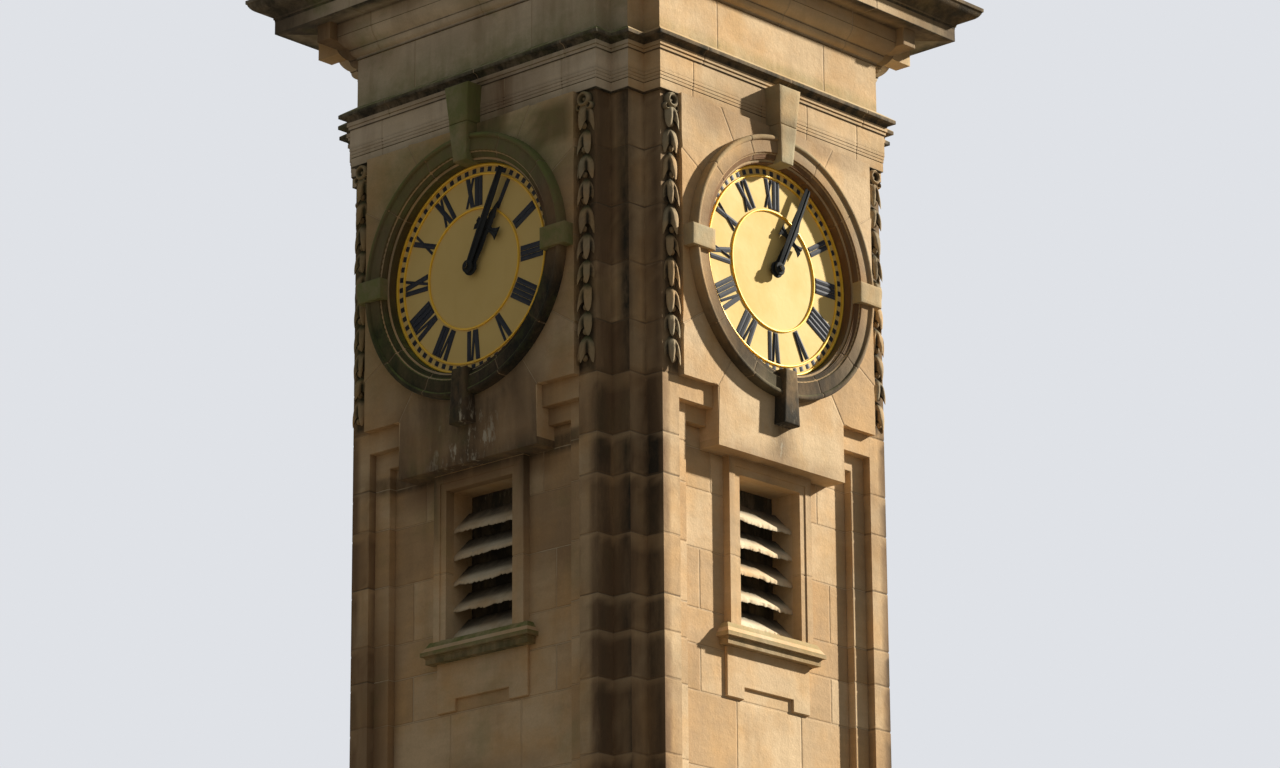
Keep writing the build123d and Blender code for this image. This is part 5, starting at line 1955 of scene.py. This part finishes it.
@dataclass(frozen=True)
class Foot:
    """The plinth, its sloping course, the step and the door."""

    door_half: float = 0.425
    door_head: float = -10.43
    door_depth: float = 0.25
    boards: int = 6
    frame_half: float = 0.535
    frame_head: float = -10.32
    frame_proud: float = 0.033
    corner_depth: float = 0.01
    door_side_cut: float = -1.1
    inner_cuts: tuple[tuple[float, ...], ...] = ((-0.55, 0.35), (-0.95, -0.1, 0.8), (-0.55, 0.35))
    slope_cuts: tuple[float, ...] = (-0.75, 0.2, 0.9)
    step_cuts: tuple[float, ...] = (-1.1, -0.05, 1.0)

    def plinth(self, side: Side, seed: int) -> Surface:
        """Three courses of large stones.

        Args:
            side: the face it is on.
            seed: sets the tints.

        Returns:
            Whole courses, or on the back ones that stop at the door's stones with one over them.
        """
        half, top, depth = TOWER.plinth_half, TOWER.plinth_top, self.corner_depth
        wall = Ashlar(half, seed, chips=0.006)
        beds = np.linspace(TOWER.plinth_foot, top, len(self.inner_cuts) + 1)
        for cuts, low, high in zip(self.inner_cuts, beds[:-1], beds[1:]):
            if side is Side.BACK:
                left, high = (-half, self.door_side_cut, -self.frame_half), min(high, self.frame_head)
                wall.course(left, low, high, (depth, 0.0))
                wall.course([-u for u in left[::-1]], low, high, (0.0, depth))
            else:
                wall.course([-half, *cuts, half], low, high, (depth, depth))
        if side is Side.BACK:
            wall.course([-half, half], self.frame_head, top, (depth, depth))
        return wall.surface()

    def courses(self, seed: int) -> Surface:
        """The sloping course over the plinth, and the step under it."""
        t = TOWER
        plinth, step = t.plinth_half - t.half, t.step_half - t.half
        slope = Profile(((plinth, t.plinth_top), (0.0, t.shaft_foot)))
        tread = Profile(((step, t.ground), (step, t.plinth_foot), (plinth, t.plinth_foot)))
        return Surface.joined([Course(slope, t.half, False, self.slope_cuts, seed).surface(),
                               Course(tread, t.half, False, self.step_cuts, seed + 1).surface()])

    def door_stones(self) -> Surface:
        """Two jambs and a lintel round the door."""
        front, back = (TOWER.plinth_half + self.frame_proud,) * 2, TOWER.plinth_half - self.corner_depth
        inner, outer, foot = self.door_half - SKIN, self.frame_half, TOWER.plinth_foot
        stones = [block(ends, ends, foot, self.door_head - 0.001, front, back, 0.4)
                  for ends in ((-outer, -inner), (inner, outer))]
        ends = (-outer - SKIN, outer + SKIN)
        stones.append(block(ends, ends, self.door_head, self.frame_head + SKIN, front, back, 0.7))
        return Surface.joined(stones)

    def door_boards(self) -> Surface:
        """Upright boards."""
        wall = Ashlar(TOWER.plinth_half - self.door_depth, 5, inner=1, chips=0.0)
        cuts = np.linspace(-self.door_half, self.door_half, self.boards + 1).tolist()
        return wall.course(cuts, TOWER.plinth_foot, self.door_head).surface()

    def make(self, side: Side, seed: int) -> None:
        """Builds the side's share."""
        stones = Surface.joined([self.plinth(side, seed), self.courses(seed + 1)])
        build(f"plinth_stones_{side.word}", stones, side, PLINTH_STONE)
        if side is Side.BACK:
            build("door_stones", self.door_stones(), side, WALL_STONE)
            build("door_boards", self.door_boards(), side, DOOR_BOARDS)


@dataclass(frozen=True)
class Camera:
    """The photograph's camera, found by fitting the tower's edges."""

    focal_pixels: float = 4616.9
    width: float = 1280.0
    sensor: float = 36.0
    far: float = 500.0
    place: Triple = (21.698, -23.610, 1.629)
    azimuth: float = 42.297
    elevation: float = -17.072
    roll: float = -0.398

    def make(self) -> None:
        """Adds the camera: its axes are those of the view, turned about it by the roll."""
        a, e, r = (math.radians(x) for x in (self.azimuth, self.elevation, self.roll))
        back = Vector((math.sin(a) * math.cos(e), -math.cos(a) * math.cos(e), math.sin(e)))
        right = Vector((math.cos(a), math.sin(a), 0.0))
        up = back.cross(right)
        turned_right = right * math.cos(r) + up * math.sin(r)
        turned_up = up * math.cos(r) - right * math.sin(r)
        data = bpy.data.cameras.new("camera")
        data.sensor_width = self.sensor
        data.lens = self.focal_pixels / self.width * self.sensor
        data.clip_end = self.far
        axes = Matrix((turned_right, turned_up, back)).transposed().to_4x4()
        camera = bpy.data.objects.new("camera", data)
        camera.matrix_world = Matrix.Translation(self.place) @ axes
        bpy.context.scene.collection.objects.link(camera)
        bpy.context.scene.camera = camera


@dataclass(frozen=True)
class Studio:
    """A pale floor, a hard key from the right and a soft fill from all round."""

    floor_half: float = 60.0
    floor_colour: Colour = (0.7, 0.7, 0.7)
    key_azimuth: float = 62.0
    key_elevation: float = 27.0
    key_strength: float = 8.4
    key_width: float = 2.0
    key_colour: Colour = (1.0, 0.95, 0.86)
    from_below: Colour = (0.215, 0.175, 0.120)
    from_above: Colour = (0.225, 0.245, 0.265)
    backdrop: Colour = (0.74, 0.76, 0.80)
    horizon: float = 0.25

    def floor(self) -> None:
        """Adds the floor, which throws no light back."""
        s = self.floor_half
        mesh = bpy.data.meshes.new("floor")
        mesh.from_pydata([(-s, -s, 0), (s, -s, 0), (s, s, 0), (-s, s, 0)], [], [(0, 1, 2, 3)])
        pale = bpy.data.materials.new("pale_floor")
        pale.use_nodes = True
        pale.node_tree.nodes["Principled BSDF"].inputs["Base Color"].default_value = (*self.floor_colour, 1)
        mesh.materials.append(pale)
        floor = bpy.data.objects.new("floor", mesh)
        bpy.context.scene.collection.objects.link(floor)
        floor.visible_diffuse = False

    def key(self) -> None:
        """Adds the key light, which shines from its azimuth and elevation."""
        a, e = math.radians(self.key_azimuth), math.radians(self.key_elevation)
        towards = Vector((math.cos(a) * math.cos(e), math.sin(a) * math.cos(e), math.sin(e)))
        data = bpy.data.lights.new("key", "SUN")
        data.energy, data.color = self.key_strength, self.key_colour
        data.angle = math.radians(self.key_width)
        key = bpy.data.objects.new("key", data)
        key.rotation_mode = "QUATERNION"
        key.rotation_quaternion = towards.to_track_quat("Z", "Y")
        bpy.context.scene.collection.objects.link(key)

    def fill(self) -> None:
        """Adds the fill.

        Its colour goes from below to above across the horizon, but the camera sees a plain backdrop.
        """
        world = bpy.data.worlds.new("studio")
        world.use_nodes = True
        nodes, links = world.node_tree.nodes, world.node_tree.links
        level, rise = nodes.new("ShaderNodeSeparateXYZ"), nodes.new("ShaderNodeMapRange")
        links.new(nodes.new("ShaderNodeTexCoord").outputs["Object"], level.inputs[0])
        links.new(level.outputs[2], rise.inputs[0])
        rise.inputs[1].default_value = -self.horizon
        rise.inputs[2].default_value = self.horizon
        around, seen = nodes.new("ShaderNodeMix"), nodes.new("ShaderNodeMix")
        around.data_type = seen.data_type = "RGBA"
        links.new(rise.outputs[0], around.inputs[0])
        around.inputs[6].default_value = (*self.from_below, 1)
        around.inputs[7].default_value = (*self.from_above, 1)
        links.new(around.outputs[2], seen.inputs[6])
        seen.inputs[7].default_value = (*self.backdrop, 1)
        links.new(nodes.new("ShaderNodeLightPath").outputs["Is Camera Ray"], seen.inputs[0])
        links.new(seen.outputs[2], nodes["Background"].inputs["Color"])
        bpy.context.scene.world = world

    def make(self) -> None:
        """Adds the floor and the lights, and shows colours as they are."""
        self.floor()
        self.key()
        self.fill()
        bpy.context.scene.view_settings.view_transform = "Standard"


NODE_FINISHES = {
    PIER_STONE: ("corner_piers",),
    LOUVRE_STONE: ("louvre_blades",),
    ROOF_STONE: ("roof", "finial"),
    DOOR_BOARDS: ("door_leaf",),
    KEY_STONE: ("surround_keys",),
    CARVED_STONE: ("carved_drops",),
    MOULDED_STONE: ("bed_mould", "string_course", "corona", "cyma", "architrave", "cornice_blocks"),
    PLINTH_STONE: ("plinth", "base_course", "base_step"),
    DIAL_PAINT: tuple(f"dial_{side.word}" for side in Side),
}


def node_finish(name: str) -> Finish:
    """The finish of a CAD node, by its name."""
    if "_hand_" in name:
        return HAND_PAINT
    if name.startswith("dial_surround"):
        return RING_STONE
    return next((finish for finish, names in NODE_FINISHES.items() if name in names), WALL_STONE)


def dress_nodes(nodes: dict[str, bpy.types.Object]) -> None:
    """Gives every CAD node that stays its finish."""
    for name, node in nodes.items():
        node.data.materials.clear()
        node.data.materials.append(node_finish(name).material())


def main() -> None:
    """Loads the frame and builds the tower's looks in order."""
    logging.basicConfig(level=logging.INFO, format="%(message)s")
    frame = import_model()
    dress_nodes(frame["nodes"])
    for number, side in enumerate(Side):
        seed = 100 * number
        Walls().make(side, seed + 1)
        Entablature().make(side, seed + 40)
        Surround().make(side, seed + 60)
        Dial().make(side)
        Window().make(side, seed + 65)
        Drop().make(side, seed + 70)
        Crown().make(side, seed + 80)
        Foot().make(side, seed + 90)
        for hand in HANDS:
            hand.make(side)
    Camera().make()
    Studio().make()


if __name__ == "__main__":
    main()
